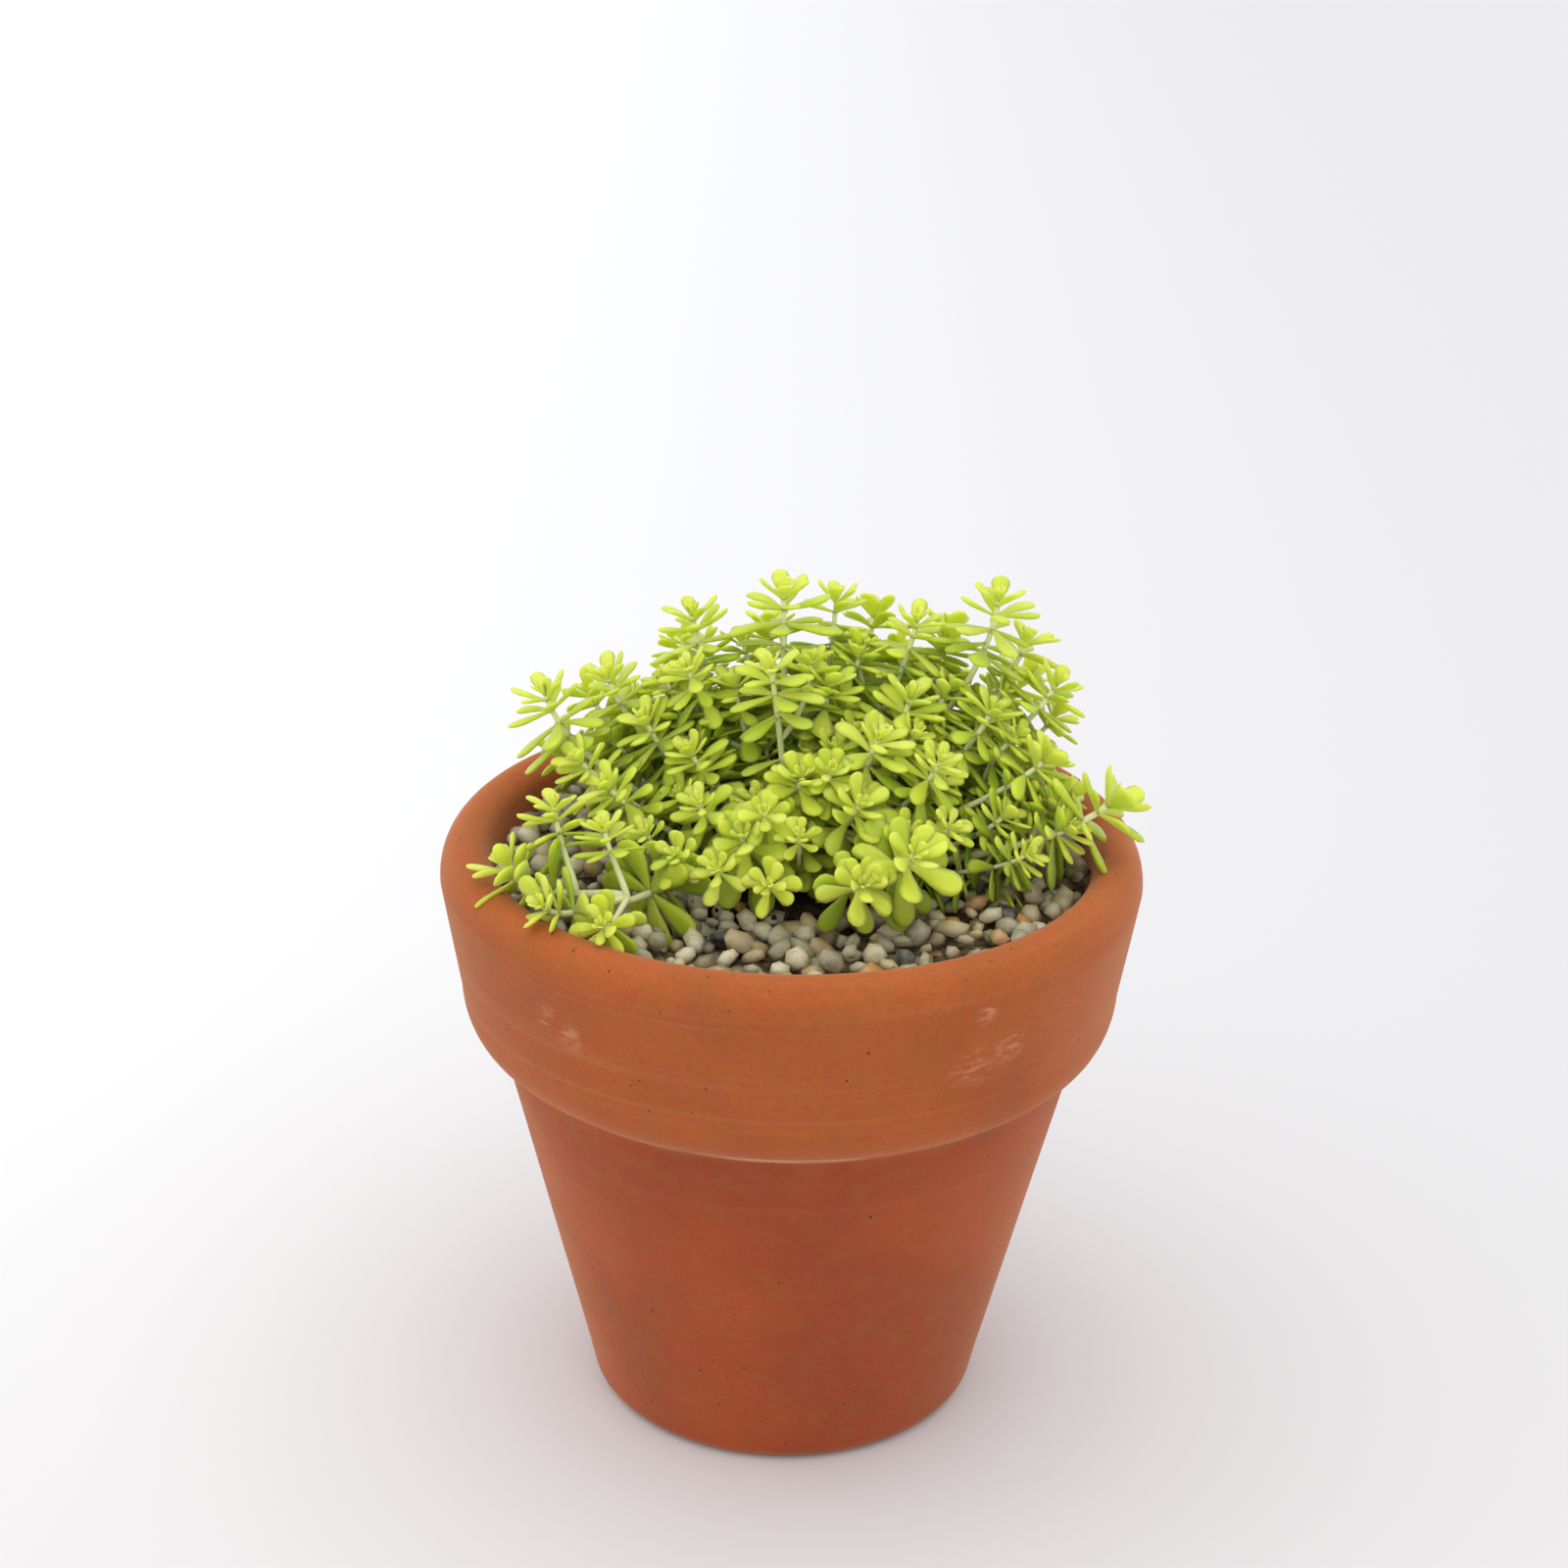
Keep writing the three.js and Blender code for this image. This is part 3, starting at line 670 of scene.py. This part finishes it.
def growing_tree():
    """Grows leaves, rings of them below and a rosette at the tip, on stem lines and their side shoots."""
    tree, given = new_tree("growing", {
        "Stem Lines": "Object", "Side Shoot Line": "Object", "Leaf Shapes": "Collection",
        "Rings": 12, "Leaves in a Ring": 5, "First Ring": 0, "Ring Spacing": whorl_spacing * MM,
        "Leaf Length": leaf_length * MM, "Bare Foot": 0.25, "Side Shoots": 2,
        "Side Shoot Length": 10.0 * MM, "Side Shoot Foot": 0.25, "Side Shoot Reach": 0.75,
        "Stem Radius": stem_radius * MM,
        "First Turn": 0.0, "Droop": 0.16, "Seed": 1,
        "Leaf Material": "Material", "Stem Material": "Material",
    })

    def whole(operation, first, second):
        return out(tree, "FunctionNodeIntegerMath", {0: first, 1: second}, operation=operation)
    drawn = drawn_from(tree, given["Seed"])

    def turned_about(rotation, axis, angle):
        turn = node(tree, "FunctionNodeAxisAngleToRotation", {"Axis": axis, "Angle": angle})
        return out(tree, "FunctionNodeRotateRotation", {
            "Rotation": rotation, "Rotate By": turn.outputs[0],
        }, rotation_space="LOCAL")

    def standing_on(tangent):
        """The frame of a stem at a point: Z runs along it, and Y is level."""
        upright = out(tree, "FunctionNodeAlignRotationToVector", {"Vector": tangent}, axis="Z")
        return out(tree, "FunctionNodeAlignRotationToVector", {
            "Rotation": upright, "Vector": (0.0, 1.0, 0.0),
        }, axis="Y", pivot_axis="Z")
    index = out(tree, "GeometryNodeInputIndex")
    lines = node(tree, "GeometryNodeObjectInfo", {"Object": given["Stem Lines"]}).outputs["Geometry"]

    # Side shoots leave the middle of the first line, turned round it by the golden angle.
    side_spots = out(tree, "GeometryNodePoints", {"Count": given["Side Shoots"]})
    step = calc(tree, "DIVIDE", calc(tree, "ADD", index, drawn(0.2, 0.8, 1)), given["Side Shoots"])
    reach = calc(tree, "SUBTRACT", given["Side Shoot Reach"], given["Side Shoot Foot"])
    side_share = calc(tree, "MULTIPLY_ADD", step, reach, given["Side Shoot Foot"])
    side_sample = node(tree, "GeometryNodeSampleCurve", {
        "Curves": lines, "Factor": side_share, "Curve Index": 0,
    }, mode="FACTOR")
    side_placed = out(tree, "GeometryNodeSetPosition", {
        "Geometry": side_spots, "Position": side_sample.outputs["Position"],
    })
    side_turn = calc(tree, "MULTIPLY_ADD", index, golden_turn, given["First Turn"])
    side_turn = calc(tree, "ADD", side_turn, drawn(-0.5, 0.5, 2))
    side_frame = turned_about(standing_on(side_sample.outputs["Tangent"]), (0.0, 0.0, 1.0), side_turn)
    side_line = node(tree, "GeometryNodeObjectInfo", {"Object": given["Side Shoot Line"]})
    side_scale = calc(tree, "MULTIPLY", given["Side Shoot Length"], drawn(0.7, 1.2, 3))
    side_lines = out(tree, "GeometryNodeInstanceOnPoints", {
        "Points": side_placed, "Instance": side_line.outputs["Geometry"],
        "Rotation": side_frame, "Scale": side_scale,
    })
    side_real = out(tree, "GeometryNodeRealizeInstances", {"Geometry": side_lines})
    all_lines = node(tree, "GeometryNodeJoinGeometry")
    tree.links.new(side_real, all_lines.inputs[0])
    tree.links.new(lines, all_lines.inputs[0])
    all_lines = all_lines.outputs[0]

    # One point for each leaf: its line, its ring counted from the tip, and its place in the ring.
    line_count = node(tree, "GeometryNodeAttributeDomainSize", {"Geometry": all_lines}, component="CURVE")
    leaves_on_a_line = whole("MULTIPLY", given["Rings"], given["Leaves in a Ring"])
    leaf_count = whole("MULTIPLY", line_count.outputs["Spline Count"], leaves_on_a_line)
    line_index = whole("DIVIDE_FLOOR", index, leaves_on_a_line)
    place_in_ring = whole("MODULO", index, given["Leaves in a Ring"])
    ring = whole("MODULO", whole("DIVIDE_FLOOR", index, given["Leaves in a Ring"]), given["Rings"])
    ring = whole("ADD", ring, given["First Ring"])

    def at_line_start(value):
        return out(tree, "GeometryNodeSampleIndex", {
            "Geometry": all_lines, "Value": value, "Index": line_index,
        }, data_type="FLOAT", domain="CURVE")
    line_length = at_line_start(node(tree, "GeometryNodeSplineLength").outputs["Length"])
    vigour = at_line_start(out(tree, "GeometryNodeInputRadius"))

    # The rings of the rosette crowd towards the tip, and those below it are evenly spaced.
    in_rosette = calc(tree, "LESS_THAN", ring, 3.5)
    squared = calc(tree, "MULTIPLY", ring, ring)
    crowded = calc(
        tree, "ADD", calc(tree, "MULTIPLY", ring, 0.5 * MM), calc(tree, "MULTIPLY", squared, 0.3 * MM)
    )
    below_rosette = calc(tree, "SUBTRACT", ring, 4.0)
    apart = calc(tree, "MULTIPLY_ADD", below_rosette, given["Ring Spacing"], rosette_length * MM)

    def either(in_rosette_value, below_value):
        """The rosette's value for its rings, and the other one for the rings below it."""
        return out(tree, "ShaderNodeMix", {
            "Factor": in_rosette, "A": below_value, "B": in_rosette_value,
        }, data_type="FLOAT")
    scattered = calc(tree, "ADD", apart, drawn(-scatter * MM, scatter * MM, 11))
    depth = calc(tree, "MULTIPLY", either(crowded, scattered), vigour)
    spot = calc(tree, "SUBTRACT", line_length, depth)
    has_room = out(tree, "FunctionNodeCompare", {
        0: spot, 1: calc(tree, "MULTIPLY", line_length, given["Bare Foot"]),
    }, data_type="FLOAT", operation="GREATER_THAN")
    sample = node(tree, "GeometryNodeSampleCurve", {
        "Curves": all_lines, "Length": spot, "Curve Index": line_index,
    }, mode="LENGTH")
    spots = out(tree, "GeometryNodePoints", {
        "Count": leaf_count, "Position": sample.outputs["Position"],
    })
    sector = calc(tree, "DIVIDE", 2 * math.pi, given["Leaves in a Ring"])
    turn = calc(tree, "MULTIPLY", calc(tree, "MULTIPLY_ADD", ring, ring_turn, place_in_ring), sector)
    turn = calc(tree, "ADD", calc(tree, "ADD", turn, given["First Turn"]), drawn(-0.3, 0.3, 4))
    tilt = either(
        calc(tree, "MULTIPLY_ADD", ring, math.radians(tilt_step), math.radians(first_tilt)),
        calc(tree, "ADD", drawn(math.radians(-18), math.radians(22), 12), math.radians(spread_tilt)),
    )
    tilt = calc(tree, "ADD", tilt, drawn(math.radians(-9), math.radians(9), 5))
    frame_there = turned_about(standing_on(sample.outputs["Tangent"]), (0.0, 0.0, 1.0), turn)
    leaf_frame = turned_about(frame_there, (0.0, 1.0, 0.0), tilt)
    youth = calc(tree, "EXPONENT", calc(tree, "MULTIPLY", ring, -0.9))
    size = calc(tree, "SUBTRACT", 1.0, calc(tree, "MULTIPLY", youth, 0.64))
    size = calc(tree, "MULTIPLY", calc(tree, "MULTIPLY", size, vigour), given["Leaf Length"])
    size = calc(tree, "MULTIPLY", size, drawn(0.86, 1.12, 6))
    girth = out(tree, "ShaderNodeCombineXYZ", {
        "X": drawn(0.9, 1.2, 7), "Y": drawn(0.85, 1.15, 8), "Z": 1.0,
    })
    scale = out(tree, "ShaderNodeVectorMath", {"Vector": girth, "Scale": size}, operation="SCALE")

    # Each leaf keeps its age, 0 at the tip, a tint of its own and its length.
    age = calc(tree, "SUBTRACT", 1.0, calc(tree, "EXPONENT", calc(tree, "MULTIPLY", ring, -0.3)))
    marked = spots
    for label, value in (("age", age), ("tint", drawn(0.0, 1.0, 10)), ("reach", size)):
        marked = out(tree, "GeometryNodeStoreNamedAttribute", {
            "Geometry": marked, "Name": label, "Value": value,
        }, data_type="FLOAT", domain="POINT")
    shapes = out(tree, "GeometryNodeCollectionInfo", {
        "Collection": given["Leaf Shapes"], "Separate Children": True, "Reset Children": True,
    })
    leaves = out(tree, "GeometryNodeInstanceOnPoints", {
        "Points": marked, "Selection": has_room, "Instance": shapes,
        "Pick Instance": True, "Instance Index": calc(tree, "FLOOR", drawn(0.0, pick_range, 9)),
        "Rotation": leaf_frame, "Scale": scale,
    })

    # The leaves sag by their length and age.
    real = out(tree, "GeometryNodeRealizeInstances", {"Geometry": leaves})

    def kept_value(label):
        return out(tree, "GeometryNodeInputNamedAttribute", {"Name": label}, data_type="FLOAT")
    along = kept_value("along")
    sag = calc(tree, "MULTIPLY", calc(tree, "MULTIPLY", along, along), kept_value("reach"))
    sag = calc(tree, "MULTIPLY", calc(tree, "MULTIPLY", sag, kept_value("age")), given["Droop"])
    drop = out(tree, "ShaderNodeCombineXYZ", {"Z": calc(tree, "MULTIPLY", sag, -1.0)})
    sagged = out(tree, "GeometryNodeSetPosition", {
        "Geometry": real, "Offset": drop,
    })
    leaves_painted = painted(tree, sagged, given["Leaf Material"])

    # The stems taper a little to their tips.
    fine_lines = out(tree, "GeometryNodeResampleCurve", {"Curve": all_lines, "Count": 16})
    section = node(tree, "GeometryNodeCurvePrimitiveCircle", {
        "Resolution": 7, "Radius": given["Stem Radius"],
    })
    share = node(tree, "GeometryNodeSplineParameter").outputs["Factor"]
    taper = calc(tree, "MULTIPLY", calc(tree, "MULTIPLY_ADD", share, -0.45, 1.15),
                 out(tree, "GeometryNodeInputRadius"))
    stems = out(tree, "GeometryNodeCurveToMesh", {
        "Curve": fine_lines, "Profile Curve": section.outputs["Curve"],
        "Scale": taper, "Fill Caps": True,
    })
    stems_smooth = out(tree, "GeometryNodeSetShadeSmooth", {"Geometry": stems})
    stems_painted = painted(tree, stems_smooth, given["Stem Material"])
    plant = node(tree, "GeometryNodeJoinGeometry")
    tree.links.new(leaves_painted, plant.inputs[0])
    tree.links.new(stems_painted, plant.inputs[0])
    node(tree, "NodeGroupOutput", {"Geometry": plant.outputs[0]})
    return tree


def fleshy_leaf():
    """Plump, waxy leaf skin: yellow at the young tips, greener with age, pale at the root, and darker green
    as painted shade on the older leaves low in the clump.
    """
    material, tree, shader, place = new_material("fleshy_leaf", {
        "Roughness": 0.45, "Specular IOR Level": 0.4, "Subsurface Weight": 0.6,
        "Subsurface Radius": (0.9, 1.0, 0.2), "Subsurface Scale": 2.0 * MM,
        "Sheen Weight": 0.15, "Sheen Roughness": 0.5,
    })

    def kept_value(label):
        return node(tree, "ShaderNodeAttribute", attribute_name=label).outputs["Fac"]
    age = kept_value("age")
    along = kept_value("along")
    tint = kept_value("tint")
    colour = tinted(tree, between(tree, age, 0.05, 0.5), shade(226, 236, 90), shade(211, 226, 60))
    colour = tinted(tree, between(tree, age, 0.5, 0.84), colour, shade(174, 197, 24))
    colour = tinted(tree, between(tree, tint, 0.55, 1.0, 0.0, 0.45), colour, shade(222, 230, 104))
    colour = tinted(tree, between(tree, tint, 0.35, 0.0, 0.0, 0.5), colour, shade(162, 188, 30))
    colour = tinted(tree, between(tree, along, 0.4, 0.02, 0.0, 0.5), colour, shade(222, 232, 112))
    mottle = noise(tree, place, 700.0, 3.0)
    colour = tinted(tree, between(tree, mottle, 0.45, 0.75, 0.0, 0.25), colour, shade(170, 200, 50))
    # The older leaves low in the clump are darkened: painted shade for the shade that falls inside the
    # clump.
    height = node(tree, "ShaderNodeSeparateXYZ", {"Vector": place}).outputs["Z"]
    painted_shade_height_mask = between(tree, height, 102 * MM, 92 * MM)
    painted_shade_mask = calc(tree, "MULTIPLY", painted_shade_height_mask, between(tree, age, 0.4, 0.75, 0.0, 0.6))
    colour = tinted(tree, painted_shade_mask, colour, shade(108, 134, 10))
    finished(tree, shader, colour, (mottle, 0.05 * MM))
    return material


def stem_skin():
    """Thin juicy stems, almost white with a touch of green."""
    material, tree, shader, place = new_material("stem_skin", {
        "Roughness": 0.4, "Specular IOR Level": 0.35, "Subsurface Weight": 0.35,
        "Subsurface Radius": (0.9, 1.0, 0.5), "Subsurface Scale": 1.0 * MM,
    })
    mottle = noise(tree, place, 320.0, 3.0)
    colour = tinted(tree, between(tree, mottle, 0.35, 0.65), shade(250, 252, 205), shade(238, 246, 172))
    height = node(tree, "ShaderNodeSeparateXYZ", {"Vector": place}).outputs["Z"]
    colour = tinted(tree, between(tree, height, 96 * MM, 88 * MM, 0.0, 0.7), colour, shade(150, 118, 70))
    finished(tree, shader, colour, (mottle, 0.05 * MM))
    return material


def soil_height(x, y):
    share = min(1.0, math.hypot(x, y) / mound_radius)
    return mound_height + share * (mound_edge_height - mound_height)


def line_object(name, lines):
    """Smooth lines as one curve object. Each is a list of (handle in, point, handle out), and a size."""
    data = bpy.data.curves.new(name, "CURVE")
    data.dimensions = "3D"
    for points, size in lines:
        spline = data.splines.new("BEZIER")
        spline.bezier_points.add(len(points) - 1)
        for place, (before, point, after) in zip(spline.bezier_points, points):
            place.handle_left_type = place.handle_right_type = "FREE"
            place.handle_left, place.co, place.handle_right = before, point, after
            place.radius = size
    return bpy.data.objects.new(name, data)


def bend(start, tip, lean, lift):
    """The stem's line: it leaves upright and turns in one smooth bend towards the way its tip leans."""
    out = Vector((tip.x - start.x, tip.y - start.y, 0)).normalized()
    heading = Vector((0, 0, math.cos(math.radians(lean)))) + out * math.sin(math.radians(lean))
    rise = start + Vector((0, 0, lift))
    last = tip - heading * (0.4 * (tip - start).length)
    return [(start, start, rise), (last, tip, tip)]


def stem_line(root, tip, lean):
    """A stem's line from its foot in the soil to its tip, in metres."""
    x, y = root
    collar = Vector((x, y, soil_height(x, y)))
    foot = collar - Vector((0, 0, root_depth))
    top = Vector(tip)
    rise, end = bend(collar, top, lean, max(5.0, 0.4 * (top.z - collar.z)))
    points = [(foot, foot, foot + (collar - foot) / 3), (collar - (collar - foot) / 3, collar, rise[2]), end]
    return [tuple(part * MM for part in point) for point in points]


def fork_line(start, tip, lean):
    points = bend(start, Vector(tip), lean, 0.15 * (Vector(tip) - start).length)
    return [tuple(part * MM for part in point) for point in points]


def middle_of(line):
    """The point half way along a line of one bend, in millimetres."""
    (_, start, first), (last, end, _) = line
    return (start + 3 * first + 3 * last + end) / 8 / MM


# Where each stem leaves the soil, where its tip stands, how far the tip leans out from upright, and how
# large its leaves are, as a share of the usual size.
stems = [
    ("top", (-1, 5), (-2, 10, 126), 4, 1.1),
    ("top_back", (3, 8), (6, 18, 122.5), 14, 0.95),
    ("top_far", (6, 11), (12, 27, 117), 22, 1.0),
    ("top_right", (7, 5), (18, 12, 121), 14, 1.0),
    ("shoulder_right", (10, 9), (23, 22, 116.5), 24, 1.0),
    ("tall_right", (13, 5), (30, 11, 125), 6, 1.05),
    ("outer_right", (16, 3), (39, 9, 112.5), 30, 1.0),
    ("star", (8, 0), (17, 0, 113.5), 16, 1.1),
    ("tuft", (13, -1), (29, 1, 111.5), 22, 1.0),
    ("heart", (2, 1), (5, 2, 115), 6, 0.95),
    ("heart_front", (-1, -4), (-3.5, -4, 119.5), 8, 1.0),
    ("bright", (5, -5), (12, -10, 111), 18, 1.1),
    ("apron", (4, -9), (9.5, -18, 104), 36, 1.0),
    ("elbow", (9, -6), (21, -13, 109), 24, 0.85),
    ("front_big", (8, -12), (17, -28, 101), 34, 1.2),
    ("front_small", (12, -10), (22.5, -19, 101.5), 34, 0.7),
    ("front_low", (4, -15), (10, -32.5, 98.5), 50, 0.85),
    ("front_left", (-3, -9), (-7, -21, 100), 32, 1.15),
    ("front_tiny", (1, -12), (1, -24.5, 102), 22, 0.65),
    ("left_step", (-6, -7), (-13.5, -15, 102.5), 30, 0.85),
    ("left_low", (-5, -14), (-10.5, -27.5, 98), 44, 0.75),
    ("front_dark", (-1, -16), (-3.2, -31, 97.5), 46, 0.75),
    ("left_star", (-9, -12), (-16.5, -24, 98.5), 40, 0.75),
    ("left_tiny", (-11, -8), (-21, -17.5, 99), 28, 0.6),
    ("left_out", (-16, 1), (-37, 5, 111), 16, 1.1),
    ("left_under", (-16, -3), (-31.5, -4, 104.5), 40, 0.9),
    ("left_high", (-11, 6), (-28, 10, 112), 18, 1.0),
    ("shoulder_left", (-7, 7), (-15.5, 13, 121), 10, 1.0),
    ("left_mid", (-9, 1), (-22, 1, 109), 22, 0.95),
    ("left_inner", (-4, 2), (-9, 5, 113.5), 12, 0.95),
    ("left_front", (-13, -5), (-27, -10, 103), 34, 0.95),
    ("left_deep", (-6, -2), (-15, -5, 106.5), 22, 0.9),
    ("middle_front", (0, -7), (1, -14, 106.5), 26, 0.95),
    ("right_bare", (13, -5), (37, -5, 106.5), 44, 0.95),
    ("right_long", (14, -10), (46.5, -9, 101.5), 46, 1.2),
    ("right_back", (14, 8), (35, 17, 116.5), 22, 1.0),
    ("right_edge", (18, 5), (39.5, 12, 106.5), 38, 0.95),
    ("right_nest", (18, 1), (38, 3, 103), 42, 0.9),
    ("back_right", (13, 13), (36, 29, 106), 38, 1.0),
    ("back_low_right", (10, 16), (24, 38, 102), 46, 0.95),
    ("back_middle", (3, 14), (8, 38, 106), 36, 1.0),
    ("back_tall", (-2, 11), (-4, 25, 115.5), 20, 1.0),
    ("back_low", (-2, 17), (-6, 42, 98), 56, 0.9),
    ("back_left", (-8, 13), (-19, 32, 105), 36, 1.0),
    ("back_left_out", (-13, 10), (-32, 24, 104), 38, 1.0),
    ("back_left_high", (-7, 10), (-15, 22, 113), 22, 0.95),
    ("left_back_low", (-17, 6), (-35, 14, 99.5), 50, 0.9),
]
# The stems whose rings of leaves stand further apart, with the stem bare between them.
long_jointed = {"right_bare": 8.0, "right_long": 8.0, "heart_front": 7.6}
# The stems at the two sides that bear no side shoots, so none hangs out over the rim.
outermost = {"left_out", "left_under", "left_back_low", "right_edge", "outer_right"}
# The stems in front whose tips stay lower than this are bare at the foot and don't branch, and of those
# the ones with leaves smaller than this have a small young rosette alone.
low_tip = 104.0
young = 0.8
# Low shoots that stand beside a stem at the right, given as the stems are.
offshoots = {
    "right_long": [((16, -8), (31, -10, 99.5), 42, 0.85), ((15, -12), (34, -17, 96.5), 52, 0.7)],
    "right_bare": [((17, -4), (40, -11, 98), 50, 0.85)],
    "right_nest": [((18, -2), (35, -3, 100), 44, 0.9)],
}

growing = growing_tree()
leaf_shapes = shape_set("leaves", [
    leaf_mesh("leaf_straight", 0.02, 0.02),
    leaf_mesh("leaf_cupped", 0.13, -0.03),
    leaf_mesh("leaf_bowed", -0.10, 0.05),
    leaf_mesh("leaf_swung", 0.06, 0.10),
    leaf_mesh("leaf_swung_back", 0.04, -0.10),
])
# A side shoot leaves along X, a unit long, and turns up along the stem.
side_shoot = line_object("side_shoot_line", [([
    (Vector((0, 0, 0)), Vector((0, 0, 0)), Vector((0.45, 0, 0.1))),
    (Vector((0.72, 0, 0.45)), Vector((0.82, 0, 0.85)), Vector((0.82, 0, 0.85))),
], 0.8)])
leaf_skin = fleshy_leaf()
stem_bark = stem_skin()


def leafy_piece(name, lines, order, **changes):
    """A stem with its leaves as one plain mesh."""
    line = line_object(name + "_line", lines)
    values = {
        "Stem Lines": line, "Side Shoot Line": side_shoot, "Leaf Shapes": leaf_shapes,
        "First Turn": order * golden_turn, "Seed": 100 * order,
        "Leaf Material": leaf_skin, "Stem Material": stem_bark,
    }
    values.update(changes)
    piece = made_by(growing, name, bpy.data.meshes.new(name), values)
    bpy.data.objects.remove(line)
    return piece


for order, (name, root, tip, lean, size) in enumerate(stems):
    changes = {"Side Shoots": 0} if name in outermost else {}
    if name in long_jointed:
        changes = {"Ring Spacing": long_jointed[name] * MM, "Side Shoots": 2}
    elif tip[1] < 0 and tip[2] < low_tip:
        changes = {"Side Shoots": 0, "Bare Foot": 0.5, "Rings": 3 if size < young else 5}
    lines = [(stem_line(root, tip, lean), size)]
    for beside_root, beside_tip, beside_lean, beside_size in offshoots.get(name, []):
        lines.append((stem_line(beside_root, beside_tip, beside_lean), beside_size))
    stem = leafy_piece("sedum_" + name, lines, order, **changes)
    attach(stem, "root")
    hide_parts("stem_" + name)

# Forked stem
# One low stem at the front left lies out over the grit to a hub of leaves, where five bare pale shoots
# fan out, each with a rosette at its tip. One of them leaves from the middle of its neighbour.
fork_root = (-13, -13)
fork_hub = (-23, -28, 93.2)
hub_leaves = 7
trunk = stem_line(fork_root, fork_hub, 80)
hub = Vector(fork_hub)
outer_fork = fork_line(hub, (-41, -21, 95), 34)
forks = [
    (fork_line(hub, (-26.5, -25, 103), 14), 0.8),
    (outer_fork, 1.15),
    (fork_line(middle_of(outer_fork), (-34, -18, 103), 10), 0.9),
    (fork_line(hub, (-34.5, -32, 93.8), 42), 1.1),
    (fork_line(hub, (-26, -38, 94), 45), 0.8),
]
forked = leafy_piece("sedum_forked", forks, len(stems), **{"Side Shoots": 0, "Bare Foot": 0.55})
hub_piece = leafy_piece("sedum_hub", [(trunk, 1.25)], len(stems) + 1, **{
    "Side Shoots": 0, "Rings": 2, "First Ring": 3, "Leaves in a Ring": hub_leaves, "Bare Foot": 0.5,
})
joined = bmesh.new()
joined.from_mesh(forked.data)
joined.from_mesh(hub_piece.data)
joined.to_mesh(forked.data)
joined.free()
bpy.data.objects.remove(hub_piece)
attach(forked, "root")
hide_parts("stem_forked")
bpy.data.objects.remove(side_shoot)

# Floor and studio light
# A seamless pale table in a bright, soft studio: light from all round, with one large source above
# and to the left of the camera.
floor_mesh = bpy.data.meshes.new("floor")
floor_size = 40.0
floor_mesh.from_pydata(
    [(-floor_size, -floor_size, 0), (floor_size, -floor_size, 0), (floor_size, floor_size, 0),
     (-floor_size, floor_size, 0)], [], [(0, 1, 2, 3)],
)
floor = bpy.data.objects.new("floor", floor_mesh)
bpy.context.scene.collection.objects.link(floor)
paper, paper_tree, paper_shader, paper_place = new_material("paper", {
    "Roughness": 0.9, "Specular IOR Level": 0.1,
})
# The paper greys towards the right and towards the front: painted shade for the light falling off there.
spread_out = node(paper_tree, "ShaderNodeSeparateXYZ", {"Vector": paper_place})
painted_shade_to_right = between(paper_tree, spread_out.outputs["X"], -0.4, 0.26)
paper_colour = tinted(paper_tree, painted_shade_to_right, shade(252, 252, 252), shade(221, 220, 221))
painted_shade_to_front = between(paper_tree, spread_out.outputs["Y"], 0.15, -0.2)
paper_colour = tinted(paper_tree, painted_shade_to_front, paper_colour, shade(228, 227, 227))
paper_tree.links.new(paper_colour, paper_shader.inputs["Base Color"])
floor_mesh.materials.append(paper)

world = bpy.data.worlds.new("studio")
world.use_nodes = True
world.node_tree.nodes["Background"].inputs["Color"].default_value = (0.95, 0.97, 1.0, 1.0)
world.node_tree.nodes["Background"].inputs["Strength"].default_value = 0.66
bpy.context.scene.world = world

# Each source of light: the way it comes from, how wide it looks in degrees, its strength and colour.
sources = [
    ("window", (-0.2, -0.35, 1.0), 100, 1.2, (1.0, 0.99, 0.97)),
    ("bounce_right", (0.9, -0.5, 0.55), 120, 0.4, (0.98, 0.99, 1.0)),
    ("bounce_back", (-0.3, 0.9, 0.7), 120, 0.6, (1.0, 1.0, 1.0)),
]
for name, way, spread, strength, colour in sources:
    lamp = bpy.data.lights.new(name, "SUN")
    lamp.angle = math.radians(spread)
    lamp.energy = strength
    lamp.color = colour
    holder = bpy.data.objects.new(name, lamp)
    holder.rotation_euler = Vector(way).to_track_quat("Z", "Y").to_euler()
    bpy.context.scene.collection.objects.link(holder)
bpy.context.scene.view_settings.view_transform = "Standard"
